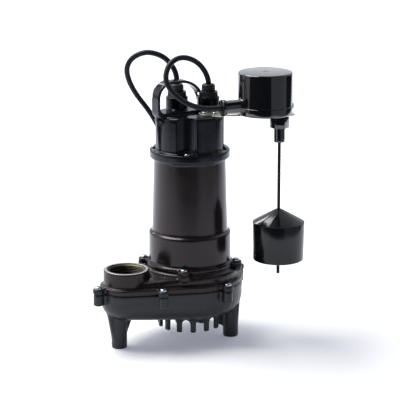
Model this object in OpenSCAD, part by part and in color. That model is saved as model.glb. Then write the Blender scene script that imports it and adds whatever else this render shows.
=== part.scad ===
// Submersible sump pump with a vertical float switch.
// Millimetres, +Z up, feet on z = 0, discharge towards -X.

/* [Pump base] */
// Radius of the volute outline round the motor axis
volute_r = 67; // [63:0.5:72]
// Radius of the volute outline round the discharge axis
outlet_end_r = 33; // [31:0.5:37]
// Distance from the motor axis to the discharge axis
outlet_reach = 93; // [89:0.5:104]
// Height of the bowl's underside above the floor
bowl_z = 33; // [28:0.5:38]
// Height of the bowl from its underside to the joint with the cover
bowl_h = 41; // [38:0.5:48]
// How much higher the bowl's underside lies below the discharge
outlet_rise = 4; // [2:0.5:7]
// Thickness of the cast walls of bowl and cover
cast_wall = 4.5; // [3.5:0.25:5.5]
// Rounding radius of the bowl's lower edge
bowl_round = 23; // [16:0.5:25]
// Radius of the suction eye in the bowl's floor
eye_r = 20; // [17:0.5:23]
// Diameter of a foot
foot_d = 19.5; // [16:0.5:24]
// Distance from the motor axis to the foot under the discharge
outlet_foot_reach = 104; // [98:0.5:108]
// Distance from the motor axis to each of the two other feet
motor_foot_reach = 52.4; // [50:0.2:56]
// Angle of the two other feet from the X axis
motor_foot_angle = 40; // [32:1:55]
// Thickness of the webs that stiffen a foot
foot_web_t = 7; // [5:0.5:10]
// Height at which a foot's outer web starts
outer_web_z = 6; // [4:0.5:12]
// Height at which a foot's inner web starts
inner_web_z = 15; // [10:0.5:20]

/* [Strainer] */
// Number of strainer teeth
tooth_count = 14; // [10:1:18]
// Outer radius of the ring of teeth
strainer_r = 41.6; // [39:0.2:43]
// Thickness of a tooth, measured along the radius
tooth_t = 5; // [3.5:0.25:6]
// Width of the arched gap between two teeth
tooth_gap = 10.6; // [7:0.2:11.4]
// Clearance from the teeth to the floor
tooth_floor_gap = 13.2; // [8:0.2:18]

/* [Cover and discharge] */
// Thickness of the cover's flange
cover_flange_t = 6.2; // [5:0.2:8]
// Height of the raised water channel above the flange
deck_h = 11; // [9:0.2:12]
// How much lower the channel lies at the discharge than at the motor
deck_fall = 5; // [2:0.2:6]
// Height of the ring that carries the motor, above the channel
pilot_h = 1.8; // [1:0.1:4]
// Outer radius of the discharge boss
outlet_boss_r = 28.6; // [27.5:0.1:30]
// Height of the discharge boss above the flange
outlet_boss_h = 19.6; // [17:0.2:26]
// Radius of the threaded discharge bore at its crests
outlet_bore_r = 22.3; // [20:0.1:23.2]
// Height of the chamfer at the mouth of the discharge
mouth_chamfer = 2.4; // [1:0.2:3]
// Thickness of both flat gaskets
gasket_t = 0.8; // [0.5:0.1:1.5]

/* [Flange screws] */
// Distance from the volute outline out to the centre of a screw ear
ear_out = 7; // [6:0.25:8]
// Radius of a screw ear
ear_r = 7; // [6.5:0.1:8]
// Distance along the straight side from the discharge to its screw
side_ear_run = 40; // [30:1:50]
// Angle of the two screws beside the motor
motor_ear_angle = 82; // [70:1:95]
// Height of the boss under each ear of the base
ear_boss_h = 15; // [12:0.5:20]
// Radius of a cover screw's shank
screw_r = 2.4; // [2:0.1:2.6]
// Radius of a pan head
pan_head_r = 4.3; // [3.9:0.1:5]
// Height of a pan head
pan_head_h = 2.9; // [2.2:0.1:3.5]

/* [Motor housing] */
// Radius of the housing's flange between its ears
housing_flange_r = 55; // [53.5:0.5:57]
// Thickness of the housing's flange
housing_flange_t = 5; // [4:0.2:7]
// How far outside the flange the housing's screws stand
housing_ear_out = 3.6; // [3:0.1:5]
// Angle of the first housing screw from the X axis
housing_screw_turn = 51; // [40:1:60]
// Radius of the lower band of the housing
band_r = 51.6; // [50:0.2:53]
// Height of the lower band above the flange
band_h = 38.4; // [30:0.2:50]
// Radius of the housing's tube above the band
tube_low_r = 47.7; // [46.5:0.1:49]
// Radius of the housing's tube under the cap
tube_top_r = 45; // [44.4:0.1:46.4]
// Height of the tube from the band to the cap's collar
tube_h = 94.9; // [90:0.5:110]
// Radius of the bore that holds the stator
stator_r = 41.4; // [40.5:0.1:42]

/* [Cap] */
// Radius of the cap's side wall
cap_r = 43.8; // [43:0.2:45]
// Height of the cap above its collar
cap_h = 45.5; // [42:0.5:52]
// Radius of the cap's collar
collar_r = 50.4; // [50:0.1:53]
// Height of the cap's collar
collar_h = 10.7; // [9.5:0.1:13]
// Wall thickness of the cap
cap_wall = 4; // [3:0.25:5]
// Rounding of the cap's upper edge
cap_round = 5; // [2:0.5:7]
// Radius of the recess above each cap screw
scoop_r = 15.5; // [13:0.5:16.5]
// Distance from the motor axis to the centre of a recess
scoop_reach = 52; // [51:0.5:54]
// Radius at which the cap screws stand
cap_screw_reach = 45; // [44.5:0.1:45.4]
// Angle of the first cap screw from the X axis
cap_screw_turn = 54; // [48:1:58]

/* [Handle] */
// Width of the handle's strap
handle_w = 16; // [12:0.5:16]
// Thickness of the handle's strap
handle_t = 3.5; // [3:0.1:5]
// Height of the handle's crown above the cap
handle_h = 42.6; // [40:0.2:50]
// Distance from the motor axis to the handle's outer leg
handle_out = 50; // [49:0.1:50]
// Distance from the motor axis to the handle's inner leg
handle_in = 18; // [17:0.5:20]
// Radius of the handle's outer shoulder
shoulder_r = 20; // [15:0.5:24]
// Thickness of the handle's lower bar on the cap
handle_bar_t = 3.3; // [2.5:0.1:5]
// Radius of the handle's outer heel where it meets the cap
heel_r = 9; // [6:0.5:12]
// Thickness of the gusset under the handle
gusset_t = 4; // [3:0.25:6]

/* [Cord glands] */
// Radius of a gland boss on the cap
gland_boss_r = 13.85; // [13:0.05:14]
// Height of a gland boss
gland_boss_h = 18.8; // [17:0.2:22]
// Height of a gland nut
gland_nut_h = 5.8; // [5:0.2:8]
// Width across the flats of a gland nut
gland_nut_w = 23; // [21:0.5:25]
// Radius of the rubber sleeve in a gland
gland_sleeve_r = 8.6; // [7.5:0.1:9]
// Height of the rubber sleeve above its nut
gland_sleeve_h = 9.4; // [7:0.2:14]
// Diameter of both cords
cord_d = 6.8; // [6:0.1:7]

/* [Float switch] */
// Radius of the switch housing
switch_r = 34.3; // [33.5:0.1:36]
// Height of the switch housing with its base
switch_h = 52.4; // [50:0.2:60]
// Height of the switch base, up to the visible joint
switch_base_h = 10.6; // [10:0.2:13]
// Wall thickness of the switch housing
switch_wall = 2.4; // [1.8:0.1:3]
// Thickness of the steel bracket
bracket_t = 2; // [1.5:0.1:3]
// Width of the steel bracket
bracket_w = 22; // [19:0.5:22]
// Radius of the cord neck
neck_r = 8.9; // [8.4:0.1:9.5]
// Distance from the switch axis to the open end of the neck
neck_reach = 60; // [56:0.5:60]
// Height of the neck's axis above the switch base
neck_h = 11.6; // [11:0.1:12.5]
// Offset of the float rod from the switch axis
rod_offset = 18; // [16:0.5:18.5]
// Radius of the float rod
rod_r = 2; // [1.5:0.1:2.4]
// Travel of the rod between off and on
rod_lift = 8; // [7:0.25:8.5]
// Height of the hexagonal guide under the bracket
guide_h = 15.9; // [14:0.1:20]
// Width across the flats of the guide
guide_w = 21; // [20:0.5:24]
// Radius of the stop sleeve on the rod
sleeve_r = 7; // [6:0.1:8]
// Visible length of the stop sleeve
sleeve_h = 18.3; // [14:0.1:24]

/* [Float] */
// Radius of the float at its rim
float_r = 32.7; // [28:0.1:36]
// Radius of the float at its underside
float_low_r = 31.8; // [27:0.1:35]
// Height of the float's cylindrical part
float_h = 48.5; // [36:0.5:56]
// Height of the float's conical top
cone_h = 16.5; // [10:0.5:22]
// Height of the float's underside above the floor, hanging
float_z = 104; // [100:0.5:116]
// Length of rod that shows under the float
rod_tail = 18.5; // [12:0.5:30]
// Wall thickness of the float
float_wall = 2; // [1.5:0.1:3]

/* [Shaft and impeller] */
// Radius of the shaft in its bearings
shaft_r = 6; // [5:0.25:6.5]
// Outer radius of both ball bearings
bearing_r = 16; // [14.5:0.25:16.5]
// Width of a ball bearing
bearing_w = 10; // [9:0.5:10]
// Outer radius of the impeller
impeller_r = 44; // [38:0.5:46]
// Number of impeller vanes
vane_count = 6; // [4:1:8]
// Height of an impeller vane
vane_h = 14; // [10:0.5:15]
// Thickness of an impeller vane
vane_t = 3; // [2:0.25:4]
// Air gap between rotor and stator
air_gap = 0.5; // [0.3:0.1:0.8]
// Length of the stator stack
stack_h = 55; // [45:1:58]
// Number of stator slots
slot_count = 16; // [12:2:20]

/* [Hidden] */
$fn = 96;
eps = 0.02;
fit = 0.1;
slack = 0.3;
hull_fn = 40;

// Place of the motor axis in the part's frame
motor_x = 11;
motor_y = 13;
// Place of the switch axis seen from the motor axis, and the bracket's direction
switch_x = 70;
switch_y = -64;
bracket_angle = -32;
neck_turn = 205;

// Levels of the pump end
seam_z = bowl_z + bowl_h;
bowl_floor_z = bowl_z + cast_wall;
cover_z = seam_z + gasket_t;
cover_top_z = cover_z + cover_flange_t;
deck_z = cover_top_z + deck_h;
pilot_z = deck_z + pilot_h;
mouth_z = cover_top_z + outlet_boss_h;
volute_turn = asin((volute_r - outlet_end_r) / outlet_reach);
cavity_round = bowl_round - cast_wall;
deck_round = 4.5;
deck_motor_r = volute_r - 6;
deck_outlet_r = outlet_boss_r - 0.5;
pilot_bore_r = 38;
collar_under = 4.5;

// Levels of the motor
housing_z = pilot_z + gasket_t;
housing_flange_z = housing_z + housing_flange_t;
band_z = housing_flange_z + band_h;
collar_z = band_z + tube_h;
rim_h = 4.6;
rim_r = collar_r - 2;
rim_z = collar_z + rim_h;
cap_z = collar_z + collar_h;
cap_top_z = cap_z + cap_h;
cap_ceiling_z = cap_top_z - cap_wall - 0.5;
spigot_h = 8;
seat_z = housing_z - spigot_h;
motor_floor_z = housing_flange_z + 4.3;
low_bearing_z = motor_floor_z;
stack_z = band_z + 11.8;
stack_top_z = stack_z + stack_h;
end_turn_h = 14;
shield_t = 5;
shield_z = rim_z - shield_t - 3.2;
high_bearing_z = shield_z - 4;
shaft_top_z = high_bearing_z + bearing_w + 1;
rotor_r = 25;
bore_r = rotor_r + air_gap;

race_t = 3;
shield_r = stator_r + 1.1;
ring_t = 1.5;

// Levels of the impeller
impeller_z = bowl_floor_z + 1.5;
shroud_t = 3;
shroud_z = impeller_z + vane_h;
hub_r = 10;
seal_h = 15.5;
hub_top_z = seat_z - seal_h;
stud_r = 4;
stud_h = 6;
impeller_nut_r = 7.4;

// Screws
cap_screw_r = 1.6;
cap_screw_head_r = 3.4;
cap_screw_head_h = 2.6;
cover_screw_len = 17;
housing_screw_r = housing_flange_r + housing_ear_out;
housing_screw_len = 10.5;

// Handle and glands
crown_z = cap_top_z + handle_h;
bar_z = cap_top_z + handle_bar_t;
heel_z = cap_top_z - 4;
arch_r = 34;
arch_x = handle_in - arch_r;
power_gland = [-8.8, 16.1];
switch_gland = [24.5, -4.7];
gland_top_z = cap_top_z + gland_boss_h;
gland_nut_z = gland_top_z + slack;
sleeve_seat_z = gland_top_z - 8;
sleeve_top_z = gland_nut_z + gland_nut_h + gland_sleeve_h;
cord_r = cord_d / 2;
cord_grip = 0.15;

// Levels of the float switch
bracket_z = cap_top_z;
base_z = bracket_z + bracket_t;
base_floor_z = base_z + 2.8;
base_top_z = base_z + switch_base_h;
switch_top_z = base_z + switch_h;
neck_z = base_z + neck_h;
bracket_back = 82;
bracket_screw_u = [-75, -62];
bracket_tip = 37;
guide_z = bracket_z - guide_h;
guide_thread_r = 7.8;
guide_thread_h = 2.6;
rod_fit = 0.08;
grommet_r = 6.5;
sleeve_in = 1;
sleeve_z = guide_z - sleeve_h;
float_top_z = float_z + float_h + cone_h;
clip_t = 1;
clip_z = float_z - slack - clip_t;
float_bore = rod_r + rod_fit;

// Switch mechanism: the rod's head lifts the long arm of a rocker
rocker_arm = 16;
rocker_short = 4;
rocker_t = 1.6;
rocker_angle = asin(rod_lift / 2 / rocker_arm);
pivot_u = rod_offset - rocker_arm;
pivot_z = base_floor_z + 17.5;
pivot_r = 1;
head_z = pivot_z - rocker_arm * sin(rocker_angle) - 3.45;
head_t = 1.4;
head_r = 3.6;
rod_top_z = head_z + head_t + 4;
stand_t = 3;
short_end_z = pivot_z + rocker_short * sin(rocker_angle) - rocker_t / 2 / cos(rocker_angle);
plunger_top_z = short_end_z - 2 * slack;

// Power cord: points from the gland to the coil, seen from the motor axis
power_route = [
    [-8.8, 16.1, 301], [-8.8, 16.1, 316], [-8.8, 16.1, 328], [-10, 18, 338], [-14, 21, 347],
    [-20, 26, 355], [-28, 32, 360], [-38, 39, 362], [-47, 46, 359], [-54, 52, 352], [-57, 56, 342],
    [-55, 58, 330], [-48, 60, 316], [-38, 62, 302], [-26, 64, 288], [-14, 67, 273], [-2, 71, 255],
    [8, 76, 234], [16, 81, 208], [22, 85, 178], [27, 88, 146], [30, 90, 114], [32, 91, 82],
    [34, 92, 54], [38, 93, 32], [46, 93, 16], [58, 92, 7], [73, 92, 4], [90, 96, 3.4],
    [106, 107, 3.4], [116, 122, 3.4]];
// Switch cord: points from the gland to the neck, seen from the motor axis and the cap's top
switch_route = [
    [24.5, -4.7, 11.9], [24.5, -4.7, 26.9], [24.5, -4.7, 36.9], [21, -5, 46.9], [14, -5, 56.9],
    [4, -6, 64.9], [-8, -6, 69.9], [-20, -6, 70.4], [-31, -7, 65.9], [-38, -9, 57.9], [-42, -13, 47.9],
    [-41, -19, 37.9], [-36, -27, 28.9], [-29, -35, 21.9], [-20, -43, 16.9], [-10, -50, 14.1],
    [1, -55, 13.7], [12, -57.1, 13.7], [24, -58.4, 13.7], [34, -59.5, 13.7]];
coil_x = 84;
coil_y = 156;
coil_mid_r = 40;
coil_turns_across = 3;
coil_turns_up = 3;
tail_route = [
    [116, 120, 17], [125, 134, 17], [131, 149, 16.7], [134.5, 166, 16], [134, 184, 14.2],
    [129, 200, 12.4], [120, 212, 11.6], [109, 218, 11.5], [98, 219.5, 11.5]];
plug_place = [108, 219];
plug_l = 34;
plug_w = 26;
plug_h = 23;

module at_motor() {
    translate([motor_x, motor_y, 0]) children();
}

module at_outlet() {
    at_motor() translate([-outlet_reach, 0, 0]) children();
}

module at_switch() {
    at_motor() translate([switch_x, switch_y, 0]) rotate(bracket_angle) children();
}

module at_neck() {
    at_switch() translate([0, 0, neck_z]) rotate(neck_turn) rotate([0, 90, 0]) children();
}

// Cylinder that stands between two heights
module post(r, z_low, z_high) {
    translate([0, 0, z_low]) cylinder(r = r, h = z_high - z_low);
}

// Tube that stands between two heights
module tube(r_out, r_in, z_low, z_high) {
    difference() {
        post(r_out, z_low, z_high);
        post(r_in, z_low - 1, z_high + 1);
    }
}

// Children repeated round the motor axis at a radius
module around(count, reach, turn = 0) {
    for (i = [0 : count - 1])
        at_motor() rotate(turn + i * 360 / count) translate([reach, 0, 0]) children();
}

// Outline of the volute: two circles and their common tangents
module volute_outline(inset = 0) {
    motor_end = volute_r - inset;
    outlet_end = outlet_end_r - inset;
    side = [-sin(volute_turn), cos(volute_turn)];
    near = motor_end - eps;
    far = outlet_end - eps;
    at_motor() {
        circle(r = motor_end);
        translate([-outlet_reach, 0]) circle(r = outlet_end);
        polygon([
            [side.x * near, side.y * near],
            [-outlet_reach + side.x * far, side.y * far],
            [-outlet_reach + side.x * far, -side.y * far],
            [side.x * near, -side.y * near]]);
    }
}

// Places of the cover screws, seen from the motor axis
function ear_places() =
    let (
        far = outlet_end_r + ear_out,
        along = [cos(volute_turn), -sin(volute_turn)],
        out = [-sin(volute_turn), -cos(volute_turn)],
        side = [-outlet_reach, 0] + far * out + side_ear_run * along,
        near = volute_r + ear_out,
        beside = [near * cos(motor_ear_angle), near * sin(motor_ear_angle)])
    [[-outlet_reach - far, 0], side, [side.x, -side.y],
        [beside.x, -beside.y], beside, [near, 0]];

// Point of the volute's spine that an ear leans on
function ear_root(place) =
    place.x < -outlet_reach ? [-outlet_reach, 0]
    : place.x < -outlet_reach / 3
        ? place - [-sin(volute_turn), sign(place.y) * cos(volute_turn)] * (2 * ear_out)
    : [0, 0];

// One ear of the cover joint with its web to the outline
module ear(place, r, web_w, z_low, z_high) {
    root = ear_root(place);
    away = place - root;
    at_motor() translate([place.x, place.y, 0]) {
        post(r, z_low, z_high);
        rotate(atan2(away.y, away.x))
            translate([-ear_out - 2, -web_w / 2, z_low])
                cube([ear_out + 2, web_w, z_high - z_low]);
    }
}

// Flat shape of an ear and its web
module ear_plan(place, r, web_w) {
    away = place - ear_root(place);
    at_motor() translate(place) {
        circle(r = r);
        rotate(atan2(away.y, away.x))
            translate([-ear_out - 2, -web_w / 2]) square([ear_out + 2, web_w]);
    }
}

// Disc with a rounded edge, at the lower or the upper side
module puck(r, h, round_r, below = true) {
    steps = 7;
    arc = [for (i = [0 : steps])
        let (a = 90 * i / steps)
        [r - round_r + round_r * sin(a), round_r - round_r * cos(a)]];
    mirror([0, 0, below ? 0 : 1])
        translate([0, 0, below ? 0 : -h])
            rotate_extrude($fn = hull_fn)
                polygon(concat([[0, 0]], arc, [[r, h], [0, h]]));
}

// Rounded trough between the motor end and the discharge end
module trough(motor_end, outlet_end, round_r, below = true) {
    hull() {
        at_motor() translate([0, 0, motor_end[1]])
            puck(motor_end[0], motor_end[2] - motor_end[1], round_r, below);
        at_outlet() translate([0, 0, outlet_end[1]])
            puck(outlet_end[0], outlet_end[2] - outlet_end[1], round_r, below);
    }
}

// Pan head with a crossed slot, standing on the origin
module pan_head(r, h) {
    dome = 4;
    slot_w = r * 0.26;
    difference() {
        rotate_extrude($fn = 32)
            polygon(concat([[0, 0], [r, 0]],
                [for (i = [0 : dome])
                    let (a = 90 * i / dome)
                    [r - r * 0.35 + r * 0.35 * cos(a), h * 0.45 + h * 0.55 * sin(a)]],
                [[0, h]]));
        for (a = [0, 90])
            rotate(a + 20)
                translate([-r * 0.6, -slot_w / 2, h * 0.5]) cube([r * 1.2, slot_w, h]);
    }
}

// Pan-head screw whose head rests on the origin
module pan_screw(head_r, head_h, shank, length) {
    pan_head(head_r, head_h);
    translate([0, 0, -length]) cylinder(r = shank, h = length + eps, $fn = 24);
}

// Foot with a web towards the motor axis and one away from it
module foot(reach, angle, inner_web, outer_web) {
    foot_r = foot_d / 2;
    at_motor() rotate(angle) translate([reach, 0, 0]) {
        post(foot_r, 0, bowl_floor_z + 12);
        rotate([90, 0, 0])
            translate([0, 0, -foot_web_t / 2])
                linear_extrude(foot_web_t)
                    polygon([
                        [-foot_r + 1, inner_web_z], [foot_r - 1, outer_web_z],
                        [outer_web, seam_z - 9], [outer_web, seam_z - 5],
                        [-inner_web, bowl_z + 10], [-inner_web, bowl_z + 2]]);
    }
}

// Ring of teeth that keeps stones out of the suction eye
module strainer() {
    arch_r = tooth_gap / 2;
    arch_z = bowl_z - 3 - arch_r;
    difference() {
        at_motor() tube(strainer_r, strainer_r - tooth_t, tooth_floor_gap, bowl_z + 2);
        around(tooth_count, strainer_r - tooth_t - 2) {
            translate([0, -arch_r, tooth_floor_gap - 1])
                cube([tooth_t + 4, tooth_gap, arch_z - tooth_floor_gap + 1]);
            translate([0, 0, arch_z]) rotate([0, 90, 0]) cylinder(r = arch_r, h = tooth_t + 4, $fn = 40);
        }
    }
}

module base_volute() {
    outer_web = outlet_reach + outlet_end_r - outlet_foot_reach - 2;
    color("#26272b") {
        difference() {
            union() {
                trough([volute_r - 1, bowl_z, seam_z - 7],
                    [outlet_end_r - 1, bowl_z + outlet_rise, seam_z - 7], bowl_round);
                translate([0, 0, seam_z - 8]) linear_extrude(8) volute_outline(0.6);
                for (place = ear_places())
                    ear(place, ear_r - 0.8, 9, seam_z - ear_boss_h, seam_z);
                foot(outlet_foot_reach, 180, 17, outer_web);
                for (side = [-1, 1])
                    foot(motor_foot_reach, side * motor_foot_angle, 12, volute_r - motor_foot_reach - 1.6);
            }
            trough([volute_r - 1 - cast_wall, bowl_floor_z, bowl_floor_z + bowl_h],
                [outlet_end_r - 1 - cast_wall, bowl_floor_z + outlet_rise, bowl_floor_z + bowl_h],
                cavity_round);
            at_motor() post(eye_r, bowl_z - 1, bowl_floor_z + 1);
            for (place = ear_places())
                at_motor() translate([place.x, place.y, 0])
                    post(screw_r + fit, seam_z - ear_boss_h + 2, seam_z + 1);
        }
        strainer();
        cutwater();
    }
}

// Curved wall that parts the impeller chamber from the discharge
module cutwater() {
    wall_t = 3.5;
    wall_r = impeller_r + 5;
    at_motor() rotate(118)
        rotate_extrude(angle = 48)
            translate([wall_r, bowl_floor_z - 0.5]) square([wall_t, seam_z - bowl_floor_z]);
}

module base_gasket() {
    color("#1b1b1c")
        translate([0, 0, seam_z]) linear_extrude(gasket_t)
            difference() {
                union() {
                    volute_outline(0.8);
                    for (place = ear_places())
                        ear_plan(place, ear_r - 1, 9);
                }
                volute_outline(cast_wall + 1);
                for (place = ear_places())
                    at_motor() translate(place) circle(r = screw_r + fit);
            }
}

module volute_cover() {
    color("#332e31") {
        difference() {
            union() {
                translate([0, 0, cover_z]) linear_extrude(cover_flange_t) {
                    volute_outline();
                    for (place = ear_places())
                        ear_plan(place, ear_r, 11);
                }
                trough([deck_motor_r, cover_top_z - 1, deck_z],
                    [deck_outlet_r, cover_top_z - 1, deck_z - deck_fall], deck_round, false);
                at_outlet() post(outlet_boss_r, cover_top_z, mouth_z);
                at_motor() post(housing_flange_r, deck_z - 1, pilot_z);
                housing_ears(deck_z - collar_under, pilot_z);
            }
            difference() {
                trough([deck_motor_r - cast_wall, cover_z - 1, deck_z - cast_wall],
                    [deck_outlet_r - cast_wall, cover_z - 1, deck_z - deck_fall - cast_wall],
                    deck_round, false);
                at_outlet() post(outlet_bore_r + cast_wall, cover_z + 1, deck_z);
            }
            at_motor() post(pilot_bore_r, cover_z - 1, pilot_z + 1);
            at_outlet() post(outlet_bore_r, cover_z - 1, mouth_z + 1);
            at_outlet() translate([0, 0, mouth_z - mouth_chamfer])
                cylinder(r1 = outlet_bore_r, r2 = outlet_bore_r + mouth_chamfer, h = mouth_chamfer + eps);
            for (place = ear_places())
                at_motor() translate([place.x, place.y, 0])
                    post(screw_r + fit, cover_z - 1, cover_top_z + 1);
            around(4, housing_screw_r, housing_screw_turn)
                post(screw_r + fit, housing_flange_z - housing_screw_len - 0.6, pilot_z + 1);
        }
    }
}

// Ears of the joint between cover and motor housing
module housing_ears(z_low, z_high) {
    around(4, housing_screw_r, housing_screw_turn) {
        post(ear_r + 0.6, z_low, z_high);
        translate([-9, -ear_r - 0.6, z_low]) cube([9, 2 * ear_r + 1.2, z_high - z_low]);
    }
}

module cover_screws() {
    color("#c9ccd2")
        for (place = ear_places())
            at_motor() translate([place.x, place.y, cover_top_z])
                pan_screw(pan_head_r, pan_head_h, screw_r, cover_screw_len);
}

module motor_gasket() {
    color("#1b1b1c")
        difference() {
            union() {
                at_motor() post(housing_flange_r - 0.6, pilot_z, housing_z);
                housing_ears(pilot_z, housing_z);
            }
            at_motor() post(pilot_bore_r, pilot_z - 1, housing_z + 1);
            around(4, housing_screw_r, housing_screw_turn)
                post(screw_r + fit, pilot_z - 1, housing_z + 1);
        }
}

module motor_housing() {
    seat_r = stator_r + fit / 2;
    color("#332e31")
        difference() {
            union() {
                at_motor() rotate_extrude() polygon([
                    [0, seat_z], [pilot_bore_r - fit, seat_z], [pilot_bore_r - fit, housing_z],
                    [housing_flange_r, housing_z], [housing_flange_r, housing_flange_z - 1],
                    [housing_flange_r - 1, housing_flange_z], [band_r + 1.2, housing_flange_z],
                    [band_r, housing_flange_z + 1.2], [band_r, band_z - 1],
                    [band_r - 1, band_z], [tube_low_r + 1, band_z], [tube_low_r, band_z + 1.2],
                    [tube_top_r, collar_z], [tube_top_r, collar_z + slack], [rim_r, collar_z + slack],
                    [rim_r, rim_z], [0, rim_z]]);
                housing_ears(housing_z, housing_flange_z);
            }
            at_motor() {
                post(tube_low_r - 4, motor_floor_z, stack_z - 8);
                post(stator_r - 2, motor_floor_z, stack_z);
                post(seat_r, stack_z - 1, shield_z);
                post(shield_r + fit / 2, shield_z, rim_z + 1);
                post(shield_r + 0.9, shield_z + shield_t, shield_z + shield_t + ring_t);
            }
            at_motor() post(shaft_r + 1, seat_z - 1, motor_floor_z + 1);
            at_motor() post(bearing_r - race_t - 0.5, motor_floor_z - 1, motor_floor_z + 1);
            at_motor() post(14, seat_z - 1, seat_z + 6.2);
            around(4, housing_screw_r, housing_screw_turn)
                post(screw_r + fit, housing_z - 1, housing_flange_z + 1);
            around(4, cap_screw_reach, cap_screw_turn)
                post(cap_screw_r + fit, collar_z + 0.7, rim_z + 1);
        }
    color("#332e31")
        at_motor() tube(bearing_r + 4.5, bearing_r + fit / 2, motor_floor_z - 1, motor_floor_z + bearing_w);
}

module housing_screws() {
    color("#c9ccd2")
        around(4, housing_screw_r, housing_screw_turn)
            translate([0, 0, housing_flange_z])
                pan_screw(pan_head_r, pan_head_h, screw_r, housing_screw_len);
}

// One slot of the stator, opened to the bore by a narrow mouth
module stator_slot(w) {
    translate([bore_r + 2.2, -w / 2]) square([9.5, w]);
    translate([bore_r - 1, -1]) square([5, 2]);
}

module stator_core() {
    color("#7f8288")
        at_motor() translate([0, 0, stack_z]) linear_extrude(stack_h)
            difference() {
                circle(r = stator_r);
                circle(r = bore_r);
                for (i = [0 : slot_count - 1])
                    rotate(i * 360 / slot_count) stator_slot(5.4);
            }
}

module stator_windings() {
    coil_in = bore_r + 2.4;
    coil_w = 9;
    color("#b0622a")
        at_motor() {
            translate([0, 0, stack_z - 1]) linear_extrude(stack_h + 2)
                for (i = [0 : slot_count - 1])
                    rotate(i * 360 / slot_count)
                        translate([coil_in, -2.5]) square([coil_w, 5]);
            for (z = [stack_z - end_turn_h, stack_top_z])
                rotate_extrude()
                    translate([coil_in, z])
                        polygon([[2, 0], [coil_w - 2, 0], [coil_w, 2], [coil_w, end_turn_h - 2],
                            [coil_w - 2, end_turn_h], [2, end_turn_h], [0, end_turn_h - 2], [0, 2]]);
        }
}

module rotor() {
    ring_h = 7;
    color("#9a9ca0")
        at_motor() {
            tube(rotor_r, shaft_r + 2, stack_z, stack_top_z);
            tube(rotor_r - 2, shaft_r + 4, stack_z - ring_h, stack_z);
            tube(rotor_r - 2, shaft_r + 4, stack_top_z, stack_top_z + ring_h);
        }
}

module shaft() {
    color("#c4c6ca")
        at_motor() {
            post(stud_r, impeller_z - stud_h - 1, impeller_z + eps);
            post(shaft_r, impeller_z, shaft_top_z);
            post(shaft_r + 2, low_bearing_z + bearing_w, high_bearing_z);
        }
}

module bearing_groove(z) {
    mid = (shaft_r + bearing_r) / 2;
    rotate_extrude()
        translate([mid, z + bearing_w / 2]) circle(r = (bearing_r - shaft_r) / 2 - race_t + 1.6, $fn = 24);
}

module bearing_outer(z) {
    color("#d4d6da")
        at_motor() difference() {
            tube(bearing_r, bearing_r - race_t, z, z + bearing_w);
            bearing_groove(z);
        }
}

// Inner race with its balls, which run in the outer race's groove
module bearing_inner(z) {
    mid = (shaft_r + bearing_r) / 2;
    ball_r = (bearing_r - shaft_r) / 2 - race_t + 1.5;
    color("#d4d6da") {
        at_motor() difference() {
            tube(shaft_r + race_t, shaft_r, z, z + bearing_w);
            bearing_groove(z);
        }
        around(7, mid - slack) translate([0, 0, z + bearing_w / 2]) sphere(r = ball_r, $fn = 24);
    }
}

module lower_bearing_outer() {
    bearing_outer(low_bearing_z);
}

module lower_bearing_inner() {
    bearing_inner(low_bearing_z);
}

module upper_bearing_outer() {
    bearing_outer(high_bearing_z);
}

module upper_bearing_inner() {
    bearing_inner(high_bearing_z);
}

// End shield that carries the upper bearing on a ledge of the housing
module bearing_shield() {
    boss_r = bearing_r + 4;
    window = 7;
    color("#8b8d92")
        difference() {
            at_motor() union() {
                post(shield_r, shield_z, shield_z + shield_t);
                post(boss_r, high_bearing_z - 0.5, shield_z + shield_t + 2);
            }
            at_motor() post(bearing_r + fit / 2, high_bearing_z - 1, high_bearing_z + bearing_w + slack);
            at_motor() post(shaft_r + 1.5, high_bearing_z, shield_z + shield_t + 3);
            around(2, (stator_r + boss_r) / 2, 9) post(window / 2, shield_z - 1, shield_z + shield_t + 1);
        }
}

// Open snap ring that holds the end shield down in its groove
module shield_ring() {
    low = shield_z + shield_t;
    color("#8b8d92")
        at_motor() rotate(150) {
            rotate_extrude(angle = 336) translate([shield_r - 2.2, low]) square([2.9, ring_t]);
            for (a = [2, 334])
                rotate(a) translate([shield_r - 3.6, 0, low]) cylinder(r = 2.2, h = ring_t, $fn = 24);
        }
}

module seal_seat() {
    color("#e8e4da")
        at_motor() tube(13.9, shaft_r + 0.6, seat_z, seat_z + 6);
}

// Rotating half of the shaft seal: carbon face, bellows and drive ring
module seal_head() {
    low = hub_top_z;
    color("#2c2c2e")
        at_motor() rotate_extrude() polygon([
            [shaft_r, low], [12, low], [12, low + 3], [9.5, low + 4.5], [12, low + 6],
            [9.5, low + 7.5], [12, low + 9], [12.5, low + 10.5], [12.5, low + 13],
            [10, low + 13], [10, seat_z - fit], [shaft_r + 0.6, seat_z - fit],
            [shaft_r + 0.6, low + 11], [shaft_r, low + 11]]);
}

module impeller() {
    color("#6c6a5f")
        at_motor() difference() {
            union() {
                post(impeller_r, shroud_z, shroud_z + shroud_t);
                post(hub_r, impeller_z, hub_top_z);
                translate([0, 0, impeller_z]) linear_extrude(vane_h + eps)
                    intersection() {
                        circle(r = impeller_r);
                        for (i = [0 : vane_count - 1])
                            rotate(i * 360 / vane_count) rotate(-38) translate([0, -2]) vane_blade();
                    }
            }
            post(shaft_r, impeller_z - 1, hub_top_z + 1);
        }
}

// Vane laid from the hub to the rim
module vane_blade() {
    bow = impeller_r * 0.75;
    translate([hub_r - 2, 0]) rotate(20)
        intersection() {
            translate([0, bow]) difference() {
                circle(r = bow + vane_t / 2);
                circle(r = bow - vane_t / 2);
            }
            translate([0, -vane_t]) square([impeller_r, bow]);
        }
}

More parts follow.
